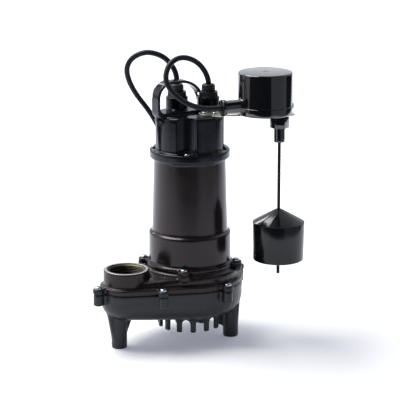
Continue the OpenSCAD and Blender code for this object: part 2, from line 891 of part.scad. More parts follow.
module impeller_nut() {
    color("#c9ccd2")
        at_motor() difference() {
            translate([0, 0, impeller_z - stud_h]) cylinder(r = impeller_nut_r, h = stud_h - fit, $fn = 6);
            post(stud_r + fit, impeller_z - stud_h - 1, impeller_z);
        }
}

module run_capacitor() {
    can_r = 13.5;
    can_h = 38;
    low = shield_z + shield_t + 2;
    color("#8f9196")
        at_motor() rotate(-81) translate([17.5, 0, 0]) {
            post(can_r, low, low + can_h);
            for (side = [-1, 1])
                translate([-2, side * 5 - 0.4, low + can_h - eps]) cube([4, 0.8, 4]);
        }
}

module overload_protector() {
    low = shield_z + shield_t;
    color("#3a3a3c")
        at_motor() rotate(99) translate([29, 0, 0]) {
            post(6.5, low, low + 7);
            post(4, low, low + 9);
        }
}

// Outline of the handle in its own plane, at an inset from the outside
module handle_outline(inset) {
    left = -handle_out + inset;
    right = handle_in - inset;
    top = crown_z - inset;
    shoulder = shoulder_r - inset;
    arch = arch_r - inset;
    translate([-handle_out + shoulder_r, crown_z - shoulder_r]) circle(r = shoulder, $fn = 64);
    translate([arch_x, crown_z - arch_r]) circle(r = arch);
    translate([-handle_out + shoulder_r, crown_z - arch_r])
        square([arch_x + handle_out - shoulder_r, top - crown_z + arch_r]);
    translate([left, cap_top_z]) square([arch_x - left, crown_z - shoulder_r - cap_top_z]);
    translate([arch_x, cap_top_z]) square([right - arch_x, crown_z - arch_r - cap_top_z]);
}

// Lower part of the handle's opening, with a rounded outer corner
module handle_floor(corner) {
    left = -handle_out + handle_t;
    difference() {
        translate([left - 1, cap_top_z - 1]) square([corner + 1, handle_bar_t + corner + 1]);
        translate([left + corner, bar_z + corner]) circle(r = corner, $fn = 48);
        translate([left + corner, bar_z]) square([corner, 2 * corner]);
    }
}

// Corner cut off the handle's heel, so that it curves in to the cap
module heel_cut() {
    low = heel_z - 1;
    difference() {
        translate([-handle_out - 1, low]) square([heel_r + 1, heel_r + 1]);
        translate([-handle_out + heel_r, heel_z + heel_r]) circle(r = heel_r, $fn = 64);
    }
}

// Tapered gusset that carries the handle's outer leg
module gusset() {
    root = cap_r - 2;
    rotate([90, 0, 0]) translate([0, 0, -gusset_t / 2]) linear_extrude(gusset_t)
        polygon([
            [-root, cap_z - 0.5], [-cap_r - 1.5, cap_z - 0.5],
            [-handle_out + 1.2, heel_z + heel_r * 0.6], [-root, heel_z + heel_r * 0.6]]);
}

module handle() {
    at_motor() {
        rotate([90, 0, 0]) translate([0, 0, -handle_w / 2]) linear_extrude(handle_w)
            difference() {
                union() {
                    difference() {
                        union() {
                            handle_outline(0);
                            translate([-handle_out, heel_z]) square([heel_r, cap_top_z - heel_z + 1]);
                        }
                        difference() {
                            handle_outline(handle_t);
                            translate([-2 * handle_out, cap_top_z - 1])
                                square([4 * handle_out, handle_bar_t + 1]);
                        }
                    }
                    handle_floor(7);
                }
                heel_cut();
            }
        gusset();
    }
}

module cap_body() {
    steps = 6;
    arc = [for (i = [0 : steps])
        let (a = 90 * i / steps)
        [cap_r - cap_round + cap_round * cos(a), cap_top_z - cap_round + cap_round * sin(a)]];
    difference() {
        at_motor() rotate_extrude()
            polygon(concat([[0, cap_z - 1], [cap_r, cap_z - 1]], arc, [[0, cap_top_z]]));
        around(4, scoop_reach, cap_screw_turn) post(scoop_r, cap_z, cap_top_z + 1);
    }
}

module motor_cap() {
    collar_edge = 1;
    color("#26272b")
        difference() {
            union() {
                cap_body();
                at_motor() rotate_extrude() polygon([
                    [0, collar_z], [collar_r - collar_edge, collar_z], [collar_r, collar_z + collar_edge],
                    [collar_r, cap_z - collar_edge], [collar_r - collar_edge, cap_z], [0, cap_z]]);
                difference() {
                    handle();
                    at_motor() translate([switch_gland.x, switch_gland.y, 0])
                        post(gland_nut_w / 2 / cos(30) + 0.5, gland_top_z, crown_z + 1);
                }
                for (place = [power_gland, switch_gland])
                    at_motor() translate([place.x, place.y, 0])
                        post(gland_boss_r, cap_top_z - cap_round, gland_top_z);
            }
            at_motor() post(rim_r + fit, collar_z - 1, rim_z + gasket_t);
            difference() {
                at_motor() post(cap_r - cap_wall, rim_z, cap_ceiling_z);
                around(4, scoop_reach, cap_screw_turn)
                    post(scoop_r + cap_wall - 0.5, rim_z - 1, cap_ceiling_z + 1);
            }
            for (place = [power_gland, switch_gland])
                at_motor() translate([place.x, place.y, 0]) {
                    post(gland_sleeve_r + fit, sleeve_seat_z, gland_top_z + 1);
                    post(cord_r + 0.6, cap_ceiling_z - 1, gland_top_z);
                }
            around(4, cap_screw_reach, cap_screw_turn)
                post(cap_screw_r + fit, rim_z - 1, cap_z + 1);
            for (u = bracket_screw_u)
                at_switch() translate([u, 0, 0]) post(1.7, cap_ceiling_z + 0.5, cap_top_z + 1);
        }
}

module cap_gasket() {
    color("#1b1b1c")
        difference() {
            at_motor() tube(rim_r - fit, shield_r + 0.3, rim_z, rim_z + gasket_t);
            around(4, cap_screw_reach, cap_screw_turn)
                post(cap_screw_r + fit, rim_z - 1, rim_z + gasket_t + 1);
        }
}

module cap_screws() {
    color("#c9ccd2")
        around(4, cap_screw_reach, cap_screw_turn)
            translate([0, 0, cap_z])
                pan_screw(cap_screw_head_r, cap_screw_head_h, cap_screw_r, collar_h - 1);
}

module gland_nut(place) {
    flat_r = gland_nut_w / 2 / cos(30);
    color("#2a2b2f")
        at_motor() translate([place.x, place.y, gland_nut_z - slack])
            difference() {
                intersection() {
                    cylinder(r = flat_r, h = gland_nut_h + slack, $fn = 6);
                    cylinder(r1 = flat_r + 1, r2 = flat_r - 1.6, h = gland_nut_h + slack);
                }
                translate([0, 0, -1]) cylinder(r = gland_sleeve_r + fit, h = gland_nut_h + 3);
            }
}

module strain_relief(place) {
    color("#1f2023")
        at_motor() translate([place.x, place.y, 0])
            rotate_extrude() polygon([
                [cord_r - cord_grip, sleeve_seat_z], [gland_sleeve_r, sleeve_seat_z],
                [gland_sleeve_r, sleeve_top_z - 1], [gland_sleeve_r - 1, sleeve_top_z],
                [cord_r - cord_grip, sleeve_top_z]]);
}

module power_gland_nut() {
    gland_nut(power_gland);
}

module power_strain_relief() {
    strain_relief(power_gland);
}

module switch_gland_nut() {
    gland_nut(switch_gland);
}

module switch_strain_relief() {
    strain_relief(switch_gland);
}

// Smooth curve through hand-set points
function curve_point(p, i, t) =
    let (
        last = len(p) - 1,
        a = p[max(i - 1, 0)],
        b = p[i],
        c = p[min(i + 1, last)],
        d = p[min(i + 2, last)])
    0.5 * (2 * b + (c - a) * t + (2 * a - 5 * b + 4 * c - d) * t * t
        + (3 * b - a - 3 * c + d) * t * t * t);

function curve(p, per_span) = concat(
    [for (i = [0 : len(p) - 2]) for (k = [0 : per_span - 1]) curve_point(p, i, k / per_span)],
    [p[len(p) - 1]]);

function unit(v) = v / norm(v);

function heading(c, i) = unit(c[min(i + 1, len(c) - 1)] - c[max(i - 1, 0)]);

// Sideways direction carried along the curve without twist
function frames(c, i, side) =
    i == len(c) ? []
    : let (
        ahead = heading(c, i),
        level = unit(side - (side * ahead) * ahead))
    concat([level], frames(c, i + 1, level));

// Round tube swept along a route
module swept_cord(route, per_span, r, first_side) {
    sides = 8;
    c = curve(route, per_span);
    level = frames(c, 0, first_side);
    rings = len(c);
    points = [for (i = [0 : rings - 1])
        let (up = cross(heading(c, i), level[i]))
        for (k = [0 : sides - 1])
            c[i] + r * cos(360 * k / sides) * level[i] + r * sin(360 * k / sides) * up];
    walls = [for (i = [0 : rings - 2]) for (k = [0 : sides - 1])
        let (next = (k + 1) % sides)
        [i * sides + k, (i + 1) * sides + k, (i + 1) * sides + next, i * sides + next]];
    start = [for (k = [0 : sides - 1]) k];
    finish = [for (k = [sides - 1 : -1 : 0]) (rings - 1) * sides + k];
    polyhedron(points = points, faces = concat(walls, [start, finish]), convexity = 8);
}

module power_cord() {
    color("#17181a") at_motor() swept_cord(power_route, 1, cord_r, [1, 0, 0]);
}

module switch_cord() {
    color("#17181a") at_motor() translate([0, 0, cap_top_z])
        swept_cord(switch_route, 2, cord_r, [0, 1, 0]);
}

// Space that the wound length of cord fills
module power_cord_coil() {
    half = coil_turns_across * cord_r;
    high = coil_turns_up * cord_d;
    color("#17181a")
        at_motor() translate([coil_x, coil_y, 0])
            rotate_extrude() polygon([
                [coil_mid_r - half, 2], [coil_mid_r - half + 2, 0], [coil_mid_r + half - 2, 0],
                [coil_mid_r + half, 2], [coil_mid_r + half, high - 2], [coil_mid_r + half - 2, high],
                [coil_mid_r - half + 2, high], [coil_mid_r - half, high - 2]]);
}

module power_cord_tail() {
    color("#17181a") at_motor() swept_cord(tail_route, 2, cord_r, [0, 0, 1]);
}

module at_plug() {
    at_motor() translate([plug_place.x, plug_place.y, plug_h / 2])
        rotate(180) rotate([0, 90, 0]) children();
}

module power_plug() {
    relief_l = 20;
    color("#1a1b1d")
        at_plug() {
            cylinder(r1 = cord_r + 1, r2 = cord_r + 3, h = relief_l);
            translate([0, 0, relief_l - eps])
                intersection() {
                    translate([-plug_h / 2, -plug_w / 2, 0]) cube([plug_h, plug_w, plug_l]);
                    cylinder(r1 = plug_w * 0.42, r2 = plug_w * 0.62, h = plug_l);
                }
        }
}

module plug_blades() {
    face = 20 + plug_l;
    color("#c8b46a")
        at_plug() {
            for (side = [-1, 1])
                translate([-5.5, side * 6.35 - 0.75, face - 3]) cube([6.35, 1.5, 19]);
            translate([6.5, 0, face - 3]) cylinder(r = 2.4, h = 22, $fn = 24);
        }
}

// Strip with round ends
module strip(x_low, x_high, w) {
    translate([x_low + w / 2, 0]) circle(r = w / 2);
    translate([x_high - w / 2, 0]) circle(r = w / 2);
    translate([x_low + w / 2, -w / 2]) square([x_high - x_low - w, w]);
}

module switch_bracket() {
    color("#c8c9c4")
        at_switch() translate([0, 0, bracket_z])
            linear_extrude(bracket_t)
                difference() {
                    strip(-bracket_back, bracket_tip, bracket_w);
                    translate([rod_offset, 0]) circle(r = guide_thread_r + fit);
                    for (u = bracket_screw_u)
                        translate([u, 0]) circle(r = 2.2);
                }
}

module bracket_screws() {
    color("#c9ccd2")
        for (u = bracket_screw_u)
            at_switch() translate([u, 0, base_z]) pan_screw(3.6, 2.2, 1.6, base_z - cap_ceiling_z - 1);
}

module neck_shape(r, end_r) {
    at_neck() {
        post(r, switch_r - 6, neck_reach);
        post(end_r, neck_reach - 5, neck_reach);
    }
}

module switch_housing() {
    draft = 0.6;
    edge = 1.6;
    color("#1d1e22")
        difference() {
            union() {
                at_switch() rotate_extrude() polygon([
                    [0, base_top_z], [switch_r, base_top_z], [switch_r - draft, switch_top_z - edge],
                    [switch_r - draft - 0.4 * edge, switch_top_z - 0.4 * edge],
                    [switch_r - draft - edge, switch_top_z], [0, switch_top_z]]);
                difference() {
                    neck_shape(neck_r, neck_r + 1.3);
                    at_switch() post(switch_r - 0.5, base_z - 1, base_top_z);
                }
            }
            at_switch() post(switch_r - switch_wall, base_top_z - 1, switch_top_z - switch_wall);
            at_neck() post(grommet_r, switch_r - 12, neck_reach + 1);
        }
}

module switch_base() {
    lip_h = 3;
    color("#1d1e22")
        difference() {
            at_switch() rotate_extrude() polygon([
                [0, base_z], [switch_r - 1, base_z], [switch_r, base_z + 1],
                [switch_r, base_top_z - 0.6], [switch_r - 0.6, base_top_z],
                [switch_r - switch_wall - fit, base_top_z],
                [switch_r - switch_wall - fit, base_top_z + lip_h],
                [switch_r - switch_wall - 1.8, base_top_z + lip_h],
                [switch_r - switch_wall - 1.8, base_floor_z], [0, base_floor_z]]);
            at_neck() post(neck_r + slack, switch_r - 12, switch_r + 4);
            at_rod() post(guide_thread_r + fit, base_z - 1, base_floor_z + 1);
        }
}

module neck_grommet() {
    color("#101112")
        at_neck() tube(grommet_r, cord_r - cord_grip, neck_reach - 22, neck_reach - 1);
}

// Hexagonal guide: its thread clamps the switch on the bracket
module rod_guide() {
    flat_r = guide_w / 2 / cos(30);
    color("#1d1e22")
        at_switch() translate([rod_offset, 0, 0])
            difference() {
                union() {
                    translate([0, 0, guide_z]) cylinder(r = flat_r, h = guide_h, $fn = 6);
                    post(guide_thread_r, bracket_z - 1, base_floor_z + guide_thread_h);
                    post(rod_r + 2, bracket_z, head_z - slack);
                }
                post(sleeve_r + slack, guide_z - 1, guide_z + sleeve_in + rod_lift + 1);
                post(rod_r + rod_fit, guide_z, head_z);
            }
}

// Stand with two ears for the rocker and a shelf for the microswitch
module rocker_stand() {
    color("#b9b6aa")
        at_switch() difference() {
            union() {
                translate([pivot_u - 21, -6.2, base_floor_z]) cube([24, 12.4, stand_t]);
                for (v = [-6.2, 4.2])
                    translate([pivot_u - 2.5, v, base_floor_z]) cube([5, 2, pivot_z - base_floor_z + 2.5]);
            }
            translate([pivot_u, 0, pivot_z]) rotate([90, 0, 0])
                translate([0, 0, -8]) cylinder(r = pivot_r, h = 16, $fn = 32);
        }
}

module rocker_pin() {
    color("#c4c6ca")
        at_switch() translate([pivot_u, 0, pivot_z]) rotate([90, 0, 0])
            translate([0, 0, -7]) cylinder(r = pivot_r, h = 14, $fn = 32);
}

module rocker() {
    tip = 1.5;
    fork_w = 2 * (rod_r + 2.4);
    color("#d8d2b8")
        at_switch() translate([pivot_u, 0, pivot_z]) rotate([0, rocker_angle, 0])
            difference() {
                union() {
                    translate([-rocker_short - 1.5, -3, -rocker_t / 2])
                        cube([rocker_short + 6, 6, rocker_t]);
                    translate([3, -fork_w / 2, -rocker_t / 2])
                        cube([rocker_arm + tip - 3, fork_w, rocker_t]);
                    rotate([90, 0, 0]) translate([0, 0, -3]) cylinder(r = 2, h = 6, $fn = 32);
                }
                rotate([90, 0, 0]) translate([0, 0, -8]) cylinder(r = pivot_r + 0.04, h = 16, $fn = 32);
                translate([rocker_arm - rod_r - 1, -rod_r - 0.5, -3])
                    cube([rod_r + tip + 3, 2 * rod_r + 1, 6]);
            }
}

module microswitch() {
    block_l = 17;
    color("#7d1f1c")
        at_switch() translate([pivot_u - 3 - block_l + 1, -3.2, base_floor_z + stand_t])
            difference() {
                cube([block_l, 6.4, plunger_top_z - 3 - base_floor_z - stand_t]);
                translate([block_l - 3 + 1, 3.2, 5]) cylinder(r = 1.3, h = 30, $fn = 24);
            }
}

module microswitch_plunger() {
    color("#e8e4da")
        at_switch() translate([pivot_u - rocker_short, 0, 0])
            post(1.2, plunger_top_z - 6, plunger_top_z);
}

module at_rod() {
    at_switch() translate([rod_offset, 0, 0]) children();
}

module float_rod() {
    color("#232427")
        at_rod() {
            post(rod_r, float_z - rod_tail, rod_top_z);
            post(head_r, head_z, head_z + head_t);
        }
}

module rod_sleeve() {
    color("#1d1e22")
        at_rod() difference() {
            union() {
                post(sleeve_r, sleeve_z, guide_z + sleeve_in);
                post(sleeve_r, sleeve_z, sleeve_z + 2);
            }
            post(rod_r, sleeve_z - 1, guide_z + sleeve_in + 1);
        }
}

module rod_clip() {
    color("#c9ccd2")
        at_rod() difference() {
            tube(4.6, rod_r, clip_z, clip_z + clip_t);
            translate([0, -rod_r * 0.8, clip_z - 1]) cube([6, rod_r * 1.6, clip_t + 2]);
        }
}

module float_cup() {
    edge = 2;
    rim = float_z + float_h;
    color("#16171a")
        at_rod() rotate_extrude() polygon([
            [float_bore, float_z], [float_low_r - edge, float_z],
            [float_low_r - 0.3 * edge, float_z + 0.3 * edge], [float_low_r, float_z + edge],
            [float_r, rim - 0.6], [float_r - 0.5, rim], [float_r - float_wall, rim],
            [float_low_r - float_wall, float_z + float_wall], [float_bore + 2.4, float_z + float_wall],
            [float_bore + 2.4, rim], [float_bore, rim]]);
}

module float_cone() {
    rim = float_z + float_h;
    tip_r = 4.6;
    color("#16171a")
        at_rod() rotate_extrude() polygon([
            [float_bore, rim], [float_bore + 2.4, rim], [float_bore + 2.4, rim + cone_h - 2 * float_wall],
            [float_r - float_wall - 1, rim + fit], [float_r - float_wall - 1, rim - 2],
            [float_r - float_wall - 0.3, rim - 2], [float_r - float_wall - 0.3, rim],
            [float_r - 0.5, rim], [float_r - 0.4, rim + 0.6], [tip_r, rim + cone_h],
            [float_bore, rim + cone_h]]);
}

base_volute();
base_gasket();
volute_cover();
cover_screws();
motor_gasket();
motor_housing();
housing_screws();
stator_core();
stator_windings();
rotor();
shaft();
lower_bearing_outer();
lower_bearing_inner();
upper_bearing_outer();
upper_bearing_inner();
bearing_shield();
shield_ring();
seal_seat();
seal_head();
impeller();
impeller_nut();
run_capacitor();
overload_protector();
motor_cap();
cap_gasket();
cap_screws();
power_gland_nut();
power_strain_relief();
switch_gland_nut();
switch_strain_relief();
power_cord();
power_cord_coil();
power_cord_tail();
power_plug();
plug_blades();
switch_cord();
switch_bracket();
bracket_screws();
switch_housing();
switch_base();
neck_grommet();
rod_guide();
rocker_stand();
rocker_pin();
rocker();
microswitch();
microswitch_plunger();
float_rod();
rod_sleeve();
rod_clip();
float_cup();
float_cone();
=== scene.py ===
import math

import bpy
from mathutils import Matrix, Vector


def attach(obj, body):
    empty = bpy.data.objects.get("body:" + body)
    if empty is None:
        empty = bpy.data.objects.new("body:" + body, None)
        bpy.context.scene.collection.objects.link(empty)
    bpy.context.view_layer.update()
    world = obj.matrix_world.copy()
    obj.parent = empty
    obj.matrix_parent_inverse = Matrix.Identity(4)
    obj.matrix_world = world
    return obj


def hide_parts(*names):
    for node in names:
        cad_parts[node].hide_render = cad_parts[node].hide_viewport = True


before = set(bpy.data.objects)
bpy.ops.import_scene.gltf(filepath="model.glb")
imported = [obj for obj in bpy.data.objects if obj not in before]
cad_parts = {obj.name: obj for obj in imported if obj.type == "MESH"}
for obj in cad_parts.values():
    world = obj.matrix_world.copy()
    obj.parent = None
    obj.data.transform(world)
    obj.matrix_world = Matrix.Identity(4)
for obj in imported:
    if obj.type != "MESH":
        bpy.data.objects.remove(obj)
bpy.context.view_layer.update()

# A sump pump with a vertical float switch, with its castings, mouldings and cords as the eye sees them

MM = 0.001

# Sizes and places in millimetres, seen from the motor axis, as part.scad has them
MOTOR = Vector((11.0, 13.0, 0.0))

# Discharge: its distance from the motor, its bore and boss, and the thread cut into the bore
OUTLET_REACH = 93.0
BORE_R = 22.3
BOSS_R = 28.6
MOUTH_Z = 100.6
WIDENED_FROM_Z = 76.0
THREAD_START_Z = 78.4
THREAD_PITCH = 2.2
THREAD_DEPTH = 1.15

# Float switch: its place, the way of its bracket, its can, and the neck that takes the cord
SWITCH = (70.0, -64.0)
BRACKET_ANGLE = math.radians(-32)
CAN_R = 34.3
CAN_FOOT_Z = 301.9
CAN_TOP_Z = 343.5
CAN_INSIDE_R = 31.9
NECK_TURN = math.radians(205)
NECK_Z = 302.7
NECK_R = 8.9
NECK_HOLE_R = 6.5
NECK_ROOT = 29
NECK_REACH = 60
LATCH_SIZE = (1.5, 7.0, 6.5)
LATCH_OUT = 34.4
LATCH_Z = 301.0

# Float, its rod's distance from the switch axis, and the sleeve that stops the float
ROD_U = 18.0
ROD_HOLE_R = 2.08
SLEEVE_HOLE_R = 2.05
SLEEVE_R = 7.0
SLEEVE_FOOT_Z = 254.9
SLEEVE_TOP_Z = 274.2
FLOAT_FOOT_Z = 104.0
FLOAT_RIM_Z = FLOAT_FOOT_Z + 48.5
FLOAT_TOP_Z = FLOAT_RIM_Z + 16.5
FLOAT_CORE_R = 4.5

# Glands: where the cords leave the cap, and the rubber sleeve round each of them
POWER_GLAND = (-8.8, 16.1)
SWITCH_GLAND = (24.5, -4.7)
RELIEF_R = 8.6
RELIEF_HOLE_R = 3.2
RELIEF_FOOT_Z = 300
RELIEF_TOP_Z = 323.4
RELIEF_LANDS_Z = ((300.4, 315.2), (316.8, 318.2))

# Screws: the circles, angles and places on which they stand, the levels of their seats, and their sizes
EAR_R = 74.0
MOTOR_EAR_ANGLE = 82
SIDE_EAR = (-70.39, 51.85)
OUTLET_EAR_X = -133.0
COVER_SEAT_Z = 81.0
HOUSING_SCREW_R = 58.6
HOUSING_SCREW_ANGLE = 51
HOUSING_SEAT_Z = 99.6
CAP_SCREW_R = 45.0
CAP_SCREW_ANGLE = 54
CAP_SEAT_Z = 243.6
BRACKET_SCREWS = [(6.4, -24.26), (17.42, -31.15)]
BRACKET_SEAT_Z = 291.1
CAST_SCREW = dict(head_r=4.3, head_h=2.9, shank_r=2.4)
CAP_SCREW = dict(head_r=3.4, head_h=2.6, shank_r=1.6)
BRACKET_SCREW = dict(head_r=3.6, head_h=2.2, shank_r=1.6)

# Cords: the points of their routes are listed, and a smooth curve runs through them
CORD_R = 3.4
POWER_ROUTE = [
    (-8.8, 16.1, 316), (-8.8, 16.1, 328), (-10, 18, 338), (-14, 21, 347),
    (-20, 26, 355), (-28, 32, 360), (-38, 39, 362), (-47, 46, 359), (-54, 52, 352), (-57, 56, 342),
    (-55, 58, 330), (-48, 60, 316), (-38, 62, 302), (-26, 64, 288), (-14, 67, 273), (-2, 71, 255),
    (8, 76, 234), (16, 81, 208), (22, 85, 178), (27, 88, 146), (30, 90, 114), (32, 91, 82),
    (34, 92, 54), (38, 93, 32), (46, 93, 16), (58, 92, 7), (73, 92, 4), (90, 96, 3.4),
    (106, 107, 3.4), (116, 122, 3.4)]
SWITCH_ROUTE = [
    (24.5, -4.7, 316), (24.5, -4.7, 326), (21, -5, 336), (14, -5, 346),
    (4, -6, 354), (-8, -6, 359), (-20, -6, 359.5), (-31, -7, 355), (-38, -9, 347), (-42, -13, 337),
    (-41, -19, 327), (-36, -27, 318), (-29, -35, 311), (-20, -43, 306), (-10, -50, 303.2),
    (1, -55, 302.8), (12, -57.1, 302.8), (24, -58.4, 302.8), (34, -59.5, 302.8)]
TAIL_ROUTE = [
    (116, 120, 17), (125, 134, 17), (131, 149, 16.7), (134.5, 166, 16), (134, 184, 14.2),
    (129, 200, 12.4), (120, 212, 11.6), (109, 218, 11.5), (98, 219.5, 11.5)]
ROUTE_STEPS = 4

# Coil: where its turns lie in the bundle, across and up, in the order in which they are wound
COIL_CENTRE = (84.0, 156.0)
COIL_MID_R = 40.0
COIL_CELLS = [(1, 0), (0, 0), (-1, 0), (-1, 1), (-1, 2), (0, 2), (0, 1), (1, 1), (1, 2)]
COIL_STEPS = 48
COIL_STEP_OVER = 0.16
BUNDLE = 3 * 2 * CORD_R
STRAP_ANGLE = math.radians(205)
STRAP_WIDTH = 11
STRAP_THICK = 0.9

# Studio, in metres: the camera stands in front and to the left, and the sheet is cut square to it
CAMERA_PLACE = (-1.2074, -1.9611, 0.7674)
CAMERA_AIM = Vector((0.0219, 0.0062, 0.1761))
CAMERA_LENS = 171
VIEW_TURN = math.radians(32)
SHEET_LEFT, SHEET_RIGHT = -1.0, 0.75
SHEET_FRONT, SHEET_BACK = -0.80, 9.0
SHEET_SPREAD = 5
ROOM = "#2a2b30"
SWEEP = (0.78, 0.80, 0.86, 1)
WORN_PAINT = "#6d6663"


def placed(x, y, z=0.0):
    """A point seen from the motor axis, in millimetres, as a point of the frame in metres."""
    return (Vector((x, y, z)) + MOTOR) * MM


def switch_point(u, v, z=0.0):
    """A point seen from the switch axis along its bracket."""
    c, s = math.cos(BRACKET_ANGLE), math.sin(BRACKET_ANGLE)
    return placed(SWITCH[0] + u * c - v * s, SWITCH[1] + u * s + v * c, z)


def add(tree, kind, inputs=None, **settings):
    """Adds a node with its settings; an input takes a value or another node's socket."""
    node = tree.nodes.new("ShaderNode" + kind)
    for name, value in settings.items():
        setattr(node, name, value)
    for name, value in (inputs or {}).items():
        if isinstance(value, bpy.types.NodeSocket):
            tree.links.new(value, node.inputs[name])
        else:
            node.inputs[name].default_value = value
    return node


def linear(hex_colour):
    """sRGB hex to the linear colour that the shaders take."""
    parts = [int(hex_colour[i:i + 2], 16) / 255 for i in (1, 3, 5)]
    return [p / 12.92 if p <= 0.04045 else ((p + 0.055) / 1.055) ** 2.4 for p in parts] + [1.0]


def per_mm(size):
    """Texture scale that makes a feature this many millimetres wide."""
    return 1 / (size * MM)


def blank_material(name):
    """A new material with an empty tree."""
    material = bpy.data.materials.new(name)
    material.use_nodes = True
    material.node_tree.nodes.clear()
    return material, material.node_tree


# Camera

bpy.ops.object.select_all(action="DESELECT")
bpy.ops.object.camera_add(location=CAMERA_PLACE)
camera = bpy.context.object
camera.data.lens = CAMERA_LENS
camera.data.sensor_width = 36
aim = CAMERA_AIM - camera.location
camera.rotation_euler = aim.to_track_quat("-Z", "Y").to_euler()
bpy.context.scene.camera = camera
bpy.context.scene.view_settings.view_transform = "Standard"


# Softboxes

def seen_from_camera(x, y, z):
    """Turns a place given to the camera's right, to its back and up into one of the frame."""
    return Matrix.Rotation(-VIEW_TURN, 4, "Z") @ Vector((x, y, z))


def studio_light(name, place, aim_height, width, height, power, colour="#ffffff"):
    """A softbox, in millimetres, that looks at a height of the origin's axis."""
    here = seen_from_camera(*place)
    there = Vector((0, 0, aim_height))
    bpy.ops.object.light_add(type="AREA", location=here * MM)
    lamp = bpy.context.object
    lamp.name = name
    lamp.data.shape = "RECTANGLE"
    lamp.data.size = width * MM
    lamp.data.size_y = height * MM
    lamp.data.energy = power
    lamp.data.color = linear(colour)[:3]
    lamp.rotation_euler = (there - here).to_track_quat("-Z", "Y").to_euler()


studio_light("left_softbox", (-1500, 100, 500), 180, 1500, 1400, 4.2, "#fff4f2")
studio_light("top_softbox", (-800, 250, 1750), 100, 1100, 1100, 36)
studio_light("right_panel", (1400, -800, 400), 200, 2300, 1500, 4.0, "#eef2ff")
# Two narrow boxes give the float's cone its pair of streaks
studio_light("cone_strip", (-800, 1480, 1240), 160, 130, 700, 3.4)
studio_light("cone_panel", (-700, 930, 1780), 160, 220, 500, 3.2)


# White sweep behind the pump, dim room on the camera's side and below the table

world = bpy.data.worlds.new("studio")
bpy.context.scene.world = world
world.use_nodes = True
world.node_tree.nodes.clear()
sky = world.node_tree
way = add(sky, "TexCoord").outputs["Generated"]
to_camera = Vector((-0.35, -0.94, 0.0))
facing = add(sky, "VectorMath", {0: way, 1: to_camera}, operation="DOT_PRODUCT")
behind = add(sky, "MapRange", {0: facing.outputs["Value"], 1: -0.35, 2: 0.35, 3: 1.0, 4: 0.0})
height = add(sky, "SeparateXYZ", {0: way}).outputs[2]
above = add(sky, "MapRange", {0: height, 1: -0.02, 2: 0.05})
sweep = add(sky, "Math", {0: behind.outputs[0], 1: above.outputs[0]}, operation="MULTIPLY")
room = add(sky, "Mix", {0: sweep.outputs[0], 6: linear(ROOM), 7: SWEEP}, data_type="RGBA")
studio = add(sky, "Background", {0: room.outputs[2], 1: 1.0})
white = add(sky, "Background", {0: (1, 1, 1, 1), 1: 1.0})
rays = add(sky, "LightPath")
shown = add(sky, "MixShader", {0: rays.outputs["Is Camera Ray"], 1: studio.outputs[0], 2: white.outputs[0]})
add(sky, "OutputWorld", {0: shown.outputs[0]})


# Sheet of paper under the pump: it reaches far back, and under a metre to the front and to the right

bpy.ops.mesh.primitive_plane_add(size=2, location=(0, 0, 0))
sheet = bpy.context.object
sheet.name = "studio_floor"
for corner in sheet.data.vertices:
    x = SHEET_RIGHT if corner.co.x > 0 else SHEET_LEFT
    if corner.co.y > 0:
        corner.co = seen_from_camera(x * SHEET_SPREAD, SHEET_BACK, 0)
    else:
        corner.co = seen_from_camera(x, SHEET_FRONT, 0)

# Pale uncoated paper: near white, its glow lifts it to white away from the pump, and the shadow stays; the
# glow is bluish, so it paints the shadow's blue tint
paper, tree = blank_material("pale_paper")
rays = add(tree, "LightPath")
mirrored = add(tree, "Math", {0: rays.outputs["Is Glossy Ray"], 1: rays.outputs["Is Transmission Ray"]},
               operation="MAXIMUM")
seen = add(tree, "Math", {0: rays.outputs["Is Camera Ray"], 1: mirrored.outputs[0]}, operation="MAXIMUM")
away = add(tree, "VectorMath", {0: add(tree, "TexCoord").outputs["Object"]}, operation="LENGTH")
lift = add(tree, "MapRange", {0: away.outputs["Value"], 1: 0.22, 2: 0.75, 3: 1.0, 4: 3.3})
strength = add(tree, "Math", {0: seen.outputs[0], 1: lift.outputs[0]}, operation="MULTIPLY")
matt = add(tree, "BsdfDiffuse", {0: (0.80, 0.79, 0.77, 1)})
glow = add(tree, "Emission", {0: (0.20, 0.215, 0.26, 1), 1: strength.outputs[0]})
both = add(tree, "AddShader", {0: matt.outputs[0], 1: glow.outputs[0]})
add(tree, "OutputMaterial", {0: both.outputs[0]})
sheet.data.materials.append(paper)


# How the surfaces are made

def painted_casting(name, colour, patch, roughness, tone, shine=0.34, grain=1.3, relief=0.06):
    """Sand-cast iron under sprayed enamel: fine orange peel, cloudy gloss, paint thinner on edges.

    The peel is drawn a little coarser than it is, so that it shows.
    """
    material, tree = blank_material(name)
    place = add(tree, "TexCoord").outputs["Object"]
    clouds = add(tree, "TexNoise", {"Vector": place, "Scale": per_mm(22), "Detail": 3.0})
    tint = add(tree, "ValToRGB", {0: clouds.outputs[0]})
    tint.color_ramp.elements[0].position = 0.35
    tint.color_ramp.elements[0].color = linear(colour)
    tint.color_ramp.elements[1].position = 0.7
    tint.color_ramp.elements[1].color = linear(patch)
    edge = add(tree, "NewGeometry").outputs["Pointiness"]
    rubbed = add(tree, "MapRange", {0: edge, 1: 0.53, 2: 0.62, 3: 0.0, 4: 0.35})
    worn = add(tree, "Mix", {0: rubbed.outputs[0], 6: tint.outputs[0], 7: linear(WORN_PAINT)},
               data_type="RGBA")
    peel = add(tree, "TexNoise", {"Vector": place, "Scale": per_mm(grain), "Detail": 2.0})
    gloss = add(tree, "MapRange", {
        0: clouds.outputs[0], 1: 0.3, 2: 0.7, 3: roughness - 0.03, 4: roughness + 0.04})
    bump = add(tree, "Bump", {"Height": peel.outputs[0], "Strength": 0.5, "Distance": relief * MM})
    body = add(tree, "BsdfPrincipled", {
        "Base Color": worn.outputs[2], "Roughness": gloss.outputs[0], "Normal": bump.outputs[0],
        "Specular IOR Level": shine, "Specular Tint": linear(tone)})
    add(tree, "OutputMaterial", {0: body.outputs[0]})
    return material


